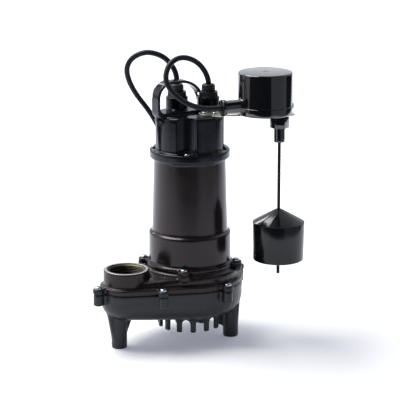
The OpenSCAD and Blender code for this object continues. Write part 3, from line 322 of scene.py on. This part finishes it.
def moulded(name, colour, patch, roughness, texture=2.0, relief=0.02, coat=0.0, shine=0.5):
    """Moulded plastic or rubber, or an oiled skin: even colour, faint clouds, gloss that varies a little."""
    material, tree = blank_material(name)
    place = add(tree, "TexCoord").outputs["Object"]
    flow = add(tree, "TexNoise", {"Vector": place, "Scale": per_mm(30), "Detail": 2.0})
    skin = add(tree, "TexNoise", {"Vector": place, "Scale": per_mm(texture), "Detail": 2.0})
    tint = add(tree, "Mix", {0: flow.outputs[0], 6: linear(colour), 7: linear(patch)}, data_type="RGBA")
    gloss = add(tree, "MapRange", {
        0: flow.outputs[0], 1: 0.3, 2: 0.7, 3: roughness * 0.9, 4: roughness * 1.15})
    bump = add(tree, "Bump", {"Height": skin.outputs[0], "Strength": 0.4, "Distance": relief * MM})
    body = add(tree, "BsdfPrincipled", {
        "Base Color": tint.outputs[2], "Roughness": gloss.outputs[0], "Normal": bump.outputs[0],
        "Specular IOR Level": shine, "Coat Weight": coat, "Coat Roughness": 0.05})
    add(tree, "OutputMaterial", {0: body.outputs[0]})
    return material


def bare_metal(name, colour, patch, roughness, stretch=(1, 1, 1), grain=1.2, relief=0.02):
    """Bare or plated metal: tinted reflections, and tool or rolling marks that run one way.

    The marks are drawn about ten times as coarse as they are, so that they show.
    """
    material, tree = blank_material(name)
    place = add(tree, "TexCoord").outputs["Object"]
    along = add(tree, "Mapping", {"Vector": place, "Scale": stretch})
    marks = add(tree, "TexNoise", {"Vector": along.outputs[0], "Scale": per_mm(grain), "Detail": 3.0})
    tint = add(tree, "Mix", {0: marks.outputs[0], 6: linear(colour), 7: linear(patch)}, data_type="RGBA")
    gloss = add(tree, "MapRange", {
        0: marks.outputs[0], 1: 0.3, 2: 0.7, 3: roughness * 0.8, 4: roughness * 1.25})
    bump = add(tree, "Bump", {"Height": marks.outputs[0], "Strength": 0.4, "Distance": relief * MM})
    body = add(tree, "BsdfPrincipled", {
        "Base Color": tint.outputs[2], "Metallic": 1.0, "Roughness": gloss.outputs[0],
        "Normal": bump.outputs[0]})
    add(tree, "OutputMaterial", {0: body.outputs[0]})
    return material


# Materials

# Satin black enamel sprayed on the cast bowl: an even, slightly cool dark grey with soft light on it
base_enamel = painted_casting("base_enamel", "#1a1b1e", "#202225", 0.33, "#f6f8ff", shine=0.42)
# Semi-gloss brown-black enamel on the motor: broad clear streaks, warmer where light rakes it
motor_enamel = painted_casting("motor_enamel", "#1b1719", "#211c1e", 0.19, "#fff3f6")
# The same enamel over the rougher sand skin of the cover: the streaks blur and break up
cover_enamel = painted_casting("cover_enamel", "#1a1718", "#211d1e", 0.27, "#fff3f2")
# Blue-black enamel on the smoother cap: cold narrow gleams along its scoops
cap_enamel = painted_casting("cap_enamel", "#101217", "#15181e", 0.16, "#e9f0ff", shine=0.3, relief=0.025)
# Freshly faced iron on the discharge's rim: a thin pale ring
cut_iron = bare_metal("cut_iron", "#b9b4ae", "#d6d2cc", 0.30)
# Cut threads with a film of cutting oil: dull olive, darker towards the bottom
oiled_thread = bare_metal("oiled_thread", "#605d4d", "#757160", 0.50)
# Zinc-plated steel screws: cold bright dots
zinc_plate = bare_metal("zinc_plate", "#a4b0b9", "#c2cdd4", 0.22)
# Rolled stainless strip: bright, with a warm cream tint that is painted reflection, and fine lines on it
rolled_stainless = bare_metal("rolled_stainless", "#ddd6c8", "#f2ece0", 0.33, stretch=(0.15, 1, 1),
                              relief=0.05)
# Gloss black ABS, injection moulded, of the switch: a mirror-like black with sharp bright streaks
gloss_abs = moulded("gloss_abs", "#111217", "#16181e", 0.09, coat=0.8)
# Blow-moulded black ABS of the float: the same black, its streaks a little blurred
float_abs = moulded("float_abs", "#111316", "#17191d", 0.13, shine=0.36)
# Nylon of the gland nuts, moulded in a fine satin texture: charcoal with soft edges of light
satin_nylon = moulded("satin_nylon", "#202125", "#292a2f", 0.38, texture=1.5, relief=0.04)
# Soft moulded rubber of sleeves and gaskets: a dull black that holds no streak
dull_rubber = moulded("dull_rubber", "#18191b", "#212224", 0.55, texture=0.9, relief=0.05)
# Extruded thermoplastic cord jacket: dark grey with a faint waxy sheen
cord_jacket = moulded("cord_jacket", "#191b20", "#212328", 0.42, texture=1.6, relief=0.04, shine=0.25)
# Woven hook tape of the strap on the coil: dull and rough to look at
hook_tape = moulded("hook_tape", "#202022", "#2c2c2f", 0.75, texture=1.0, relief=0.25)
# Black oxide on the steel rod: a deep, nearly dull black right up to its edges
black_oxide = moulded("black_oxide", "#101113", "#17181a", 0.40, texture=1.2, relief=0.03, shine=0.2)
# Ground steel of the shaft: a bright grey with fine rings around it
ground_steel = bare_metal("ground_steel", "#b9bcc1", "#d2d5d9", 0.22, stretch=(1, 1, 8))
# Stacked electrical steel: mid grey, its thin sheets seen as fine lines
electrical_steel = bare_metal("electrical_steel", "#6f7278", "#8b8e94", 0.42, stretch=(0.2, 0.2, 4),
                              relief=0.06)
# Enamelled copper wire: a warm orange-brown gleam in fine strands
enamelled_copper = bare_metal("enamelled_copper", "#a65320", "#c47a3c", 0.32, stretch=(1, 1, 0.3), grain=0.9,
                              relief=0.1)
# Die-cast alloy as it leaves the die: dull pale grey with a soft skin
die_cast_alloy = bare_metal("die_cast_alloy", "#85888c", "#9fa2a6", 0.42, relief=0.08)
# Unpainted sand-cast iron: rough, dark and slightly brown
raw_iron = bare_metal("raw_iron", "#5b5850", "#716c60", 0.55, relief=0.15)
# Polished bearing steel: a clear mirror
polished_steel = bare_metal("polished_steel", "#cfd2d6", "#e2e4e7", 0.10)
# Stamped brass of the plug's blades: a calm yellow gleam
bright_brass = bare_metal("bright_brass", "#b39a58", "#cdb67c", 0.28)
# Glazed ceramic of the seal's seat: cream under a clear gloss
glazed_ceramic = moulded("glazed_ceramic", "#d9d4c6", "#ece7db", 0.15, coat=0.4)
# Undyed moulded nylon: waxy off-white
natural_nylon = moulded("natural_nylon", "#b3ae9e", "#cac5b6", 0.42)
# Undyed moulded acetal: ivory with a slippery gleam
natural_acetal = moulded("natural_acetal", "#d2ccb4", "#e3deca", 0.35)
# Phenolic moulding of the snap switch: dark red with a hard gloss
phenolic_moulding = moulded("phenolic_moulding", "#6a1a18", "#842522", 0.35)
# Filled plastic of inner mouldings: charcoal and satin
dark_plastic = moulded("dark_plastic", "#2b2b2d", "#38383a", 0.45)


# Ways of shaping

def choose(piece):
    """Selects one piece and nothing else."""
    bpy.ops.object.select_all(action="DESELECT")
    piece.select_set(True)
    bpy.context.view_layer.objects.active = piece


def shaped(piece, kind, **settings):
    """Adds a modifier and applies it."""
    choose(piece)
    modifier = piece.modifiers.new(kind.lower(), kind)
    for name, value in settings.items():
        setattr(modifier, name, value)
    bpy.ops.object.modifier_apply(modifier=modifier.name)


def bevelled(piece, width, segments=2, least_angle=40):
    """Rounds the edges that are sharper than an angle in degrees."""
    shaped(piece, "BEVEL", width=width * MM, segments=segments, limit_method="ANGLE",
           angle_limit=math.radians(least_angle))


def moved(piece, place=(0, 0, 0), turn=(0, 0, 0)):
    """Sets a finished piece down, keeps its place in its mesh and smooths its gentle edges."""
    piece.location = place
    piece.rotation_euler = turn
    choose(piece)
    bpy.ops.object.transform_apply(location=True, rotation=True, scale=True)
    bpy.ops.object.shade_smooth_by_angle(angle=math.radians(35))
    return piece


def fitted(piece, name, material, nodes, body="pump"):
    """Names a piece, gives it its finish and puts it in place of its solids."""
    piece.name = name
    piece.data.materials.clear()
    piece.data.materials.append(material)
    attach(piece, body)
    if nodes:
        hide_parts(*nodes)
    return piece


def joined(pieces):
    """Makes several pieces one."""
    bpy.ops.object.select_all(action="DESELECT")
    for piece in pieces:
        piece.select_set(True)
    bpy.context.view_layer.objects.active = pieces[0]
    bpy.ops.object.join()
    return bpy.context.object


def cut_away(piece, cutter):
    """Cuts one shape out of another."""
    shaped(piece, "BOOLEAN", operation="DIFFERENCE", object=cutter, solver="EXACT")
    bpy.data.objects.remove(cutter)


def block(width, depth, height, level=0.0):
    """A box of this size in millimetres, its middle on the Z axis."""
    bpy.ops.object.select_all(action="DESELECT")
    bpy.ops.mesh.primitive_cube_add(size=1, location=(0, 0, level * MM))
    box = bpy.context.object
    box.scale = (width * MM, depth * MM, height * MM)
    choose(box)
    bpy.ops.object.transform_apply(location=True, rotation=True, scale=True)
    return box


def turned(profile, sides=96, tube=False):
    """A turned piece on the Z axis: a ring extruded through (radius, height) points in millimetres."""
    radius, level = profile[0]
    bpy.ops.object.select_all(action="DESELECT")
    bpy.ops.mesh.primitive_circle_add(vertices=sides, radius=radius * MM, location=(0, 0, 0))
    piece = bpy.context.object
    bpy.ops.object.mode_set(mode="EDIT")
    bpy.ops.mesh.select_all(action="SELECT")
    bpy.ops.transform.translate(value=(0, 0, level * MM))
    for next_radius, next_level in profile[1:]:
        rise = (next_level - level) * MM
        bpy.ops.mesh.extrude_edges_move(TRANSFORM_OT_translate={"value": (0, 0, rise)})
        grow = next_radius / radius
        bpy.ops.transform.resize(value=(grow, grow, 1), center_override=(0, 0, next_level * MM))
        radius, level = next_radius, next_level
    bpy.ops.mesh.select_all(action="SELECT")
    bpy.ops.mesh.remove_doubles(threshold=0.000002)
    if not tube:
        bpy.ops.mesh.fill_holes(sides=0)
    bpy.ops.mesh.select_all(action="SELECT")
    bpy.ops.mesh.normals_make_consistent(inside=False)
    bpy.ops.object.mode_set(mode="OBJECT")
    return piece


def turned_tube(profile, sides=64):
    """A turned piece with a hole through it, whose outline comes back to its first point."""
    return turned(profile + [profile[0]], sides, tube=True)


def copy_of_solid(node):
    """A welded copy of a CAD solid to work on."""
    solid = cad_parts[node]
    copy = bpy.data.objects.new(node + "_copy", solid.data.copy())
    bpy.context.scene.collection.objects.link(copy)
    choose(copy)
    bpy.ops.object.mode_set(mode="EDIT")
    bpy.ops.mesh.select_all(action="SELECT")
    bpy.ops.mesh.remove_doubles(threshold=0.00001)
    bpy.ops.object.mode_set(mode="OBJECT")
    return copy


def cast_form(copy, voxel):
    """Gives a welded copy the soft edges and fillets of a sand casting."""
    shaped(copy, "REMESH", mode="VOXEL", voxel_size=voxel * MM, adaptivity=0.0)
    shaped(copy, "SMOOTH", factor=0.5, iterations=4)
    choose(copy)
    bpy.ops.object.shade_smooth()
    return copy


def rounded_copy(node, width, segments=2):
    """A copy of a solid with its flat faces whole again and its sharp edges rounded."""
    copy = copy_of_solid(node)
    bpy.ops.object.mode_set(mode="EDIT")
    bpy.ops.mesh.select_all(action="SELECT")
    bpy.ops.mesh.dissolve_limited(angle_limit=math.radians(0.5))
    bpy.ops.object.mode_set(mode="OBJECT")
    bevelled(copy, width, segments, 35)
    return moved(copy)


def around(radius, first_angle, count):
    """Places at even steps on a circle round the motor axis, in millimetres and degrees."""
    angles = [math.radians(first_angle + k * 360 / count) for k in range(count)]
    return [(radius * math.cos(angle), radius * math.sin(angle)) for angle in angles]


# Cords

def smooth_route(route):
    """Points of a smooth curve through given points, as the solids' sweep has them."""
    last = len(route) - 1
    points = []
    for i in range(last):
        a, b, c, d = (Vector(route[k]) for k in (max(i - 1, 0), i, i + 1, min(i + 2, last)))
        for k in range(ROUTE_STEPS):
            t = k / ROUTE_STEPS
            points.append(0.5 * (2 * b + (c - a) * t + (2 * a - 5 * b + 4 * c - d) * t * t
                                 + (3 * b - a - 3 * c + d) * t ** 3))
    points.append(Vector(route[last]))
    return points


def coil_points(start_angle):
    """One turn for each cell of the bundle, which blends into the next cell near its end."""
    last = len(COIL_CELLS) - 1
    points = []
    for k in range(1, len(COIL_CELLS) * COIL_STEPS):
        turn, part = divmod(k / COIL_STEPS, 1)
        here = COIL_CELLS[int(turn)]
        after = COIL_CELLS[min(int(turn) + 1, last)]
        blend = max(0.0, (part - 1 + COIL_STEP_OVER) / COIL_STEP_OVER)
        blend = blend * blend * (3 - 2 * blend)
        ring = here[0] + (after[0] - here[0]) * blend
        layer = here[1] + (after[1] - here[1]) * blend
        radius = COIL_MID_R + ring * 2 * CORD_R
        angle = start_angle + 2 * math.pi * k / COIL_STEPS
        points.append(Vector((
            COIL_CENTRE[0] + radius * math.cos(angle), COIL_CENTRE[1] + radius * math.sin(angle),
            CORD_R + layer * 2 * CORD_R)))
    return points


def cord(name, points, nodes):
    """A round cord on one open line, in place of its solids."""
    line = bpy.data.curves.new(name, "CURVE")
    line.dimensions = "3D"
    line.bevel_depth = CORD_R * MM
    line.bevel_resolution = 4
    line.use_fill_caps = True
    spline = line.splines.new("POLY")
    spline.points.add(len(points) - 1)
    for target, point in zip(spline.points, points):
        target.co = (*placed(*point), 1)
    spline.use_smooth = True
    piece = bpy.data.objects.new(name, line)
    bpy.context.scene.collection.objects.link(piece)
    line.materials.append(cord_jacket)
    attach(piece, "pump")
    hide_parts(*nodes)
    return piece


def coil_strap():
    """The loop of tape that holds the wound length together, open where the cords run through."""
    strap = block(BUNDLE + 1.2, STRAP_WIDTH, BUNDLE + STRAP_THICK)
    bpy.ops.object.mode_set(mode="EDIT")
    bpy.ops.mesh.select_mode(type="FACE")
    bpy.ops.mesh.select_all(action="DESELECT")
    bpy.ops.object.mode_set(mode="OBJECT")
    for face in strap.data.polygons:
        face.select = abs(face.normal.y) > 0.9
    bpy.ops.object.mode_set(mode="EDIT")
    bpy.ops.mesh.delete(type="FACE")
    bpy.ops.object.mode_set(mode="OBJECT")
    bevelled(strap, CORD_R, 6)
    shaped(strap, "SOLIDIFY", thickness=STRAP_THICK * MM, offset=-1.0)
    bevelled(strap, 0.25)
    place = placed(COIL_CENTRE[0] + COIL_MID_R * math.cos(STRAP_ANGLE),
                   COIL_CENTRE[1] + COIL_MID_R * math.sin(STRAP_ANGLE), (BUNDLE + STRAP_THICK) / 2)
    return moved(strap, place, (0, 0, STRAP_ANGLE))


coil_start = math.atan2(POWER_ROUTE[-1][1] - COIL_CENTRE[1], POWER_ROUTE[-1][0] - COIL_CENTRE[0])
power_line = smooth_route(POWER_ROUTE) + coil_points(coil_start) + smooth_route(TAIL_ROUTE)
power = cord("power_lead", power_line, ["power_cord", "power_cord_coil", "power_cord_tail"])
tie = fitted(coil_strap(), "coil_tie", hook_tape, [])
plug = fitted(rounded_copy("power_plug", 1.6, 3), "power_plug_body", satin_nylon, ["power_plug"])
blades = fitted(rounded_copy("plug_blades", 0.35), "plug_blade_set", bright_brass,
                ["plug_blades"])

switch_line = smooth_route(SWITCH_ROUTE)
lead = cord("switch_lead", switch_line, ["switch_cord"])


# Castings

def opened_outlet(cover):
    """Widens the discharge's bore, so that the thread has room in its wall."""
    outlet = placed(-OUTLET_REACH, 0, 0)
    grow = (BORE_R + 1.5) / BORE_R
    for corner in cover.data.vertices:
        away = Vector((corner.co.x - outlet.x, corner.co.y - outlet.y)).length
        if away < (BORE_R + 0.3) * MM and corner.co.z > WIDENED_FROM_Z * MM:
            corner.co.x = outlet.x + (corner.co.x - outlet.x) * grow
            corner.co.y = outlet.y + (corner.co.y - outlet.y) * grow
    return cover


def pipe_thread():
    """The rings of the pipe thread: the crests stand at the bore, the roots lie in the wall."""
    back = BORE_R + 2.6
    thread = [(back, THREAD_START_Z - 0.4)]
    level = THREAD_START_Z
    while level < MOUTH_Z - 3.2:
        thread += [(BORE_R + 0.15, level), (BORE_R, level + 0.25), (BORE_R + THREAD_DEPTH, level + 1.1),
                   (BORE_R + 0.15, level + 1.95)]
        level += THREAD_PITCH
    thread += [(BORE_R + 0.2, MOUTH_Z - 2.6), (BORE_R + 2.3, MOUTH_Z - 0.5), (back, MOUTH_Z - 0.5)]
    return moved(turned_tube(thread, 96), placed(-OUTLET_REACH, 0))


def faced_rim():
    """The ring that is machined bright on top of the discharge."""
    outer = BOSS_R - 0.8
    rim = [(BORE_R + 2.0, MOUTH_Z - 0.9), (BORE_R + 2.2, MOUTH_Z - 0.15), (BORE_R + 2.6, MOUTH_Z),
           (BOSS_R - 1.3, MOUTH_Z), (outer, MOUTH_Z - 0.2), (outer, MOUTH_Z - 0.9)]
    return moved(turned_tube(rim, 96), placed(-OUTLET_REACH, 0))


bowl = cast_form(copy_of_solid("base_volute"), 1.3)
fitted(bowl, "bowl_casting", base_enamel, ["base_volute"])
cover = cast_form(opened_outlet(copy_of_solid("volute_cover")), 1.1)
fitted(cover, "cover_casting", cover_enamel, ["volute_cover"])
fitted(pipe_thread(), "outlet_thread", oiled_thread, [])
fitted(faced_rim(), "outlet_rim", cut_iron, [])
housing = cast_form(copy_of_solid("motor_housing"), 1.4)
fitted(housing, "housing_casting", motor_enamel, ["motor_housing"])
cap = cast_form(copy_of_solid("motor_cap"), 1.0)
fitted(cap, "cap_casting", cap_enamel, ["motor_cap"])


# Screws

def pan_head(head_r, head_h, shank_r, shank_len):
    """One screw with its seat at zero and a cross recess in its rounded head."""
    screw = turned([
        (shank_r - 0.4, -shank_len), (shank_r, 0.4 - shank_len), (shank_r, 0), (head_r - 0.15, 0),
        (head_r, 0.2), (head_r, 0.42 * head_h), (0.94 * head_r, 0.68 * head_h),
        (0.78 * head_r, 0.88 * head_h), (0.5 * head_r, 0.98 * head_h), (0.25 * head_r, head_h)], sides=40)
    for across, along in ((1.15, 0.3), (0.3, 1.15)):
        cut_away(screw, block(across * head_r, along * head_r, 0.9 * head_h, head_h))
    return screw


def screws(node, places, level, shank_len, **size):
    """One screw modelled and the rest copied, each turned its own way as it was driven."""
    screw = pan_head(shank_len=shank_len, **size)
    row = []
    for number, (x, y) in enumerate(places):
        one = screw.copy()
        one.data = screw.data.copy()
        bpy.context.scene.collection.objects.link(one)
        row.append(moved(one, placed(x, y, level), (0, 0, math.radians(23 + 67 * number))))
    bpy.data.objects.remove(screw)
    fitted(joined(row), node[:-1] + "_set", zinc_plate, [node])


side_x, side_y = SIDE_EAR
motor_x = EAR_R * math.cos(math.radians(MOTOR_EAR_ANGLE))
motor_y = EAR_R * math.sin(math.radians(MOTOR_EAR_ANGLE))
cover_places = [
    (OUTLET_EAR_X, 0), (side_x, -side_y), (side_x, side_y),
    (motor_x, -motor_y), (motor_x, motor_y), (EAR_R, 0)]
screws("cover_screws", cover_places, COVER_SEAT_Z, 17, **CAST_SCREW)
housing_places = around(HOUSING_SCREW_R, HOUSING_SCREW_ANGLE, 4)
screws("housing_screws", housing_places, HOUSING_SEAT_Z, 10.5, **CAST_SCREW)
screws("cap_screws", around(CAP_SCREW_R, CAP_SCREW_ANGLE, 4), CAP_SEAT_Z, 9.7, **CAP_SCREW)
screws("bracket_screws", BRACKET_SCREWS, BRACKET_SEAT_Z, 5.5, **BRACKET_SCREW)


# Glands

def strain_relief():
    """The rubber sleeve round a cord, with two grooves for grip and a rounded lip."""
    foot, top = RELIEF_FOOT_Z, RELIEF_TOP_Z
    sleeve = [(RELIEF_HOLE_R, foot), (RELIEF_R - 0.2, foot)]
    for low, high in RELIEF_LANDS_Z:
        sleeve += [(RELIEF_R, low), (RELIEF_R, high),
                   (RELIEF_R - 0.3, high + 0.4), (RELIEF_R - 0.3, high + 1.2)]
    sleeve += [(RELIEF_R - 0.1, top - 3.6), (RELIEF_R - 0.25, top - 2.2), (RELIEF_R - 0.7, top - 1.1),
               (RELIEF_R - 1.6, top - 0.3), (RELIEF_R - 2.8, top), (RELIEF_HOLE_R + 0.7, top),
               (RELIEF_HOLE_R, top - 0.5)]
    return turned_tube(sleeve)


for which, (x, y) in (("power", POWER_GLAND), ("switch", SWITCH_GLAND)):
    nut = rounded_copy(which + "_gland_nut", 0.5)
    fitted(nut, which + "_gland", satin_nylon, [which + "_gland_nut"])
    relief = moved(strain_relief(), placed(x, y))
    fitted(relief, which + "_relief", dull_rubber, [which + "_strain_relief"])


# Float switch

def switch_shell():
    """The round can of the switch, with a lip at its foot, a rolled upper edge and two sprue dimples."""
    top = CAN_TOP_Z
    can = turned([
        (0.3, top - 2.4), (CAN_INSIDE_R, top - 2.4), (CAN_INSIDE_R, CAN_FOOT_Z), (CAN_R - 0.3, CAN_FOOT_Z),
        (CAN_R, CAN_FOOT_Z + 0.4), (CAN_R - 0.58, top - 2.2), (CAN_R - 0.75, top - 1.3),
        (CAN_R - 1.2, top - 0.6), (CAN_R - 1.9, top - 0.15), (CAN_R - 2.8, top), (6, top - 0.05), (0.3, top)])
    for side in (-1.9, 1.9):
        dimple = turned([(0.5, top - 1.6), (1.5, top - 0.5), (1.5, top + 1)], sides=24)
        cut_away(can, moved(dimple, (side * MM, 0, 0)))
    return moved(can, switch_point(0, 0))


def on_neck(profile):
    """A turned part of the neck, whose heights run outwards from the switch axis."""
    part = turned_tube(profile)
    return moved(part, switch_point(0, 0, NECK_Z), (0, math.radians(90), BRACKET_ANGLE + NECK_TURN))


def cord_neck():
    """The tube that the cord enters, with a collar at its mouth."""
    collar, end = NECK_R + 1.3, NECK_REACH
    return on_neck([
        (NECK_HOLE_R, NECK_ROOT), (NECK_R, NECK_ROOT), (NECK_R, end - 5.6), (NECK_R + 0.3, end - 5.1),
        (collar - 0.3, end - 4.9), (collar, end - 4.5), (collar, end - 0.8), (collar - 0.4, end - 0.2),
        (NECK_R + 0.2, end), (NECK_HOLE_R + 0.5, end), (NECK_HOLE_R, end - 0.4)])


def neck_fillet():
    """The hollow rounding between the neck and the can."""
    inside = NECK_R - 0.2
    return on_neck([
        (inside, 32), (NECK_R + 2.3, 32.2), (NECK_R + 0.9, 34.2), (NECK_R + 0.2, 36.5), (inside, 38)])


def cover_latch():
    """The small tab that snaps the can onto its base."""
    latch = block(*LATCH_SIZE)
    bevelled(latch, 0.4)
    return moved(latch, switch_point(LATCH_OUT, 0, LATCH_Z), (0, 0, BRACKET_ANGLE))


shell = joined([switch_shell(), cord_neck(), neck_fillet()])
fitted(shell, "switch_can", gloss_abs, ["switch_housing"])
fitted(cover_latch(), "switch_latch", gloss_abs, [])
fitted(rounded_copy("switch_base", 0.35), "switch_cup", gloss_abs, ["switch_base"])
fitted(rounded_copy("rod_guide", 0.6), "hex_guide", gloss_abs, ["rod_guide"])
plate = rounded_copy("switch_bracket", 0.3)
fitted(plate, "bracket_plate", rolled_stainless, ["switch_bracket"])


# Float and its stop

def on_rod(profile, sides):
    """A turned piece with the rod through it."""
    return moved(turned_tube(profile, sides), switch_point(ROD_U, 0))


def stop_sleeve():
    """The sleeve that the float lifts, with a groove near its lower end."""
    foot, waist = SLEEVE_FOOT_Z, SLEEVE_R - 0.3
    return on_rod([
        (SLEEVE_HOLE_R, foot), (SLEEVE_R - 0.8, foot), (SLEEVE_R - 0.2, foot + 0.3), (SLEEVE_R, foot + 1.0),
        (SLEEVE_R, foot + 2.7), (waist, foot + 3.1), (waist, foot + 3.6), (SLEEVE_R, foot + 4.0),
        (SLEEVE_R, SLEEVE_TOP_Z), (SLEEVE_HOLE_R, SLEEVE_TOP_Z)], 64)


def float_cup():
    """The lower shell of the float: a slightly flared cup with the rod's tube in its middle."""
    foot, rim = FLOAT_FOOT_Z, FLOAT_RIM_Z
    return on_rod([
        (ROD_HOLE_R, foot), (29.6, foot), (30.7, foot + 0.2), (31.5, foot + 0.8), (31.8, foot + 1.9),
        (32.68, rim - 0.6), (32.55, rim - 0.15), (32.1, rim - 0.02), (30.6, rim - 0.02), (29.8, foot + 2),
        (FLOAT_CORE_R, foot + 2), (FLOAT_CORE_R, rim - 0.1), (ROD_HOLE_R, rim - 0.1)], 128)


def float_cone():
    """The upper shell of the float: a cone with a blunt tip round the rod."""
    rim, top = FLOAT_RIM_Z, FLOAT_TOP_Z
    return on_rod([
        (ROD_HOLE_R, rim), (ROD_HOLE_R, top), (4.1, top), (4.6, top - 0.2), (31.6, rim + 1.05),
        (32.2, rim + 0.55), (32.15, rim + 0.02), (29.6, rim + 0.02), (FLOAT_CORE_R, rim + 12.6),
        (FLOAT_CORE_R, rim)], 128)


fitted(stop_sleeve(), "stop_sleeve", gloss_abs, ["rod_sleeve"], body="rod")
fitted(float_cup(), "float_body", float_abs, ["float_cup"], body="float")
fitted(float_cone(), "float_lid", float_abs, ["float_cone"], body="float")


# Finishes of the solids that keep their shape

finishes = {
    "base_gasket": dull_rubber, "motor_gasket": dull_rubber, "cap_gasket": dull_rubber,
    "stator_core": electrical_steel, "stator_windings": enamelled_copper,
    "rotor": die_cast_alloy, "shaft": ground_steel,
    "lower_bearing_outer": polished_steel, "lower_bearing_inner": polished_steel,
    "upper_bearing_outer": polished_steel, "upper_bearing_inner": polished_steel,
    "bearing_shield": die_cast_alloy, "shield_ring": ground_steel,
    "seal_seat": glazed_ceramic, "seal_head": dull_rubber,
    "impeller": raw_iron, "impeller_nut": zinc_plate,
    "run_capacitor": die_cast_alloy, "overload_protector": dark_plastic, "neck_grommet": dull_rubber,
    "rocker_stand": natural_nylon, "rocker_pin": ground_steel, "rocker": natural_acetal,
    "microswitch": phenolic_moulding, "microswitch_plunger": natural_acetal,
    "float_rod": black_oxide, "rod_clip": ground_steel}
for node, material in finishes.items():
    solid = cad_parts[node]
    solid.data.materials.clear()
    solid.data.materials.append(material)
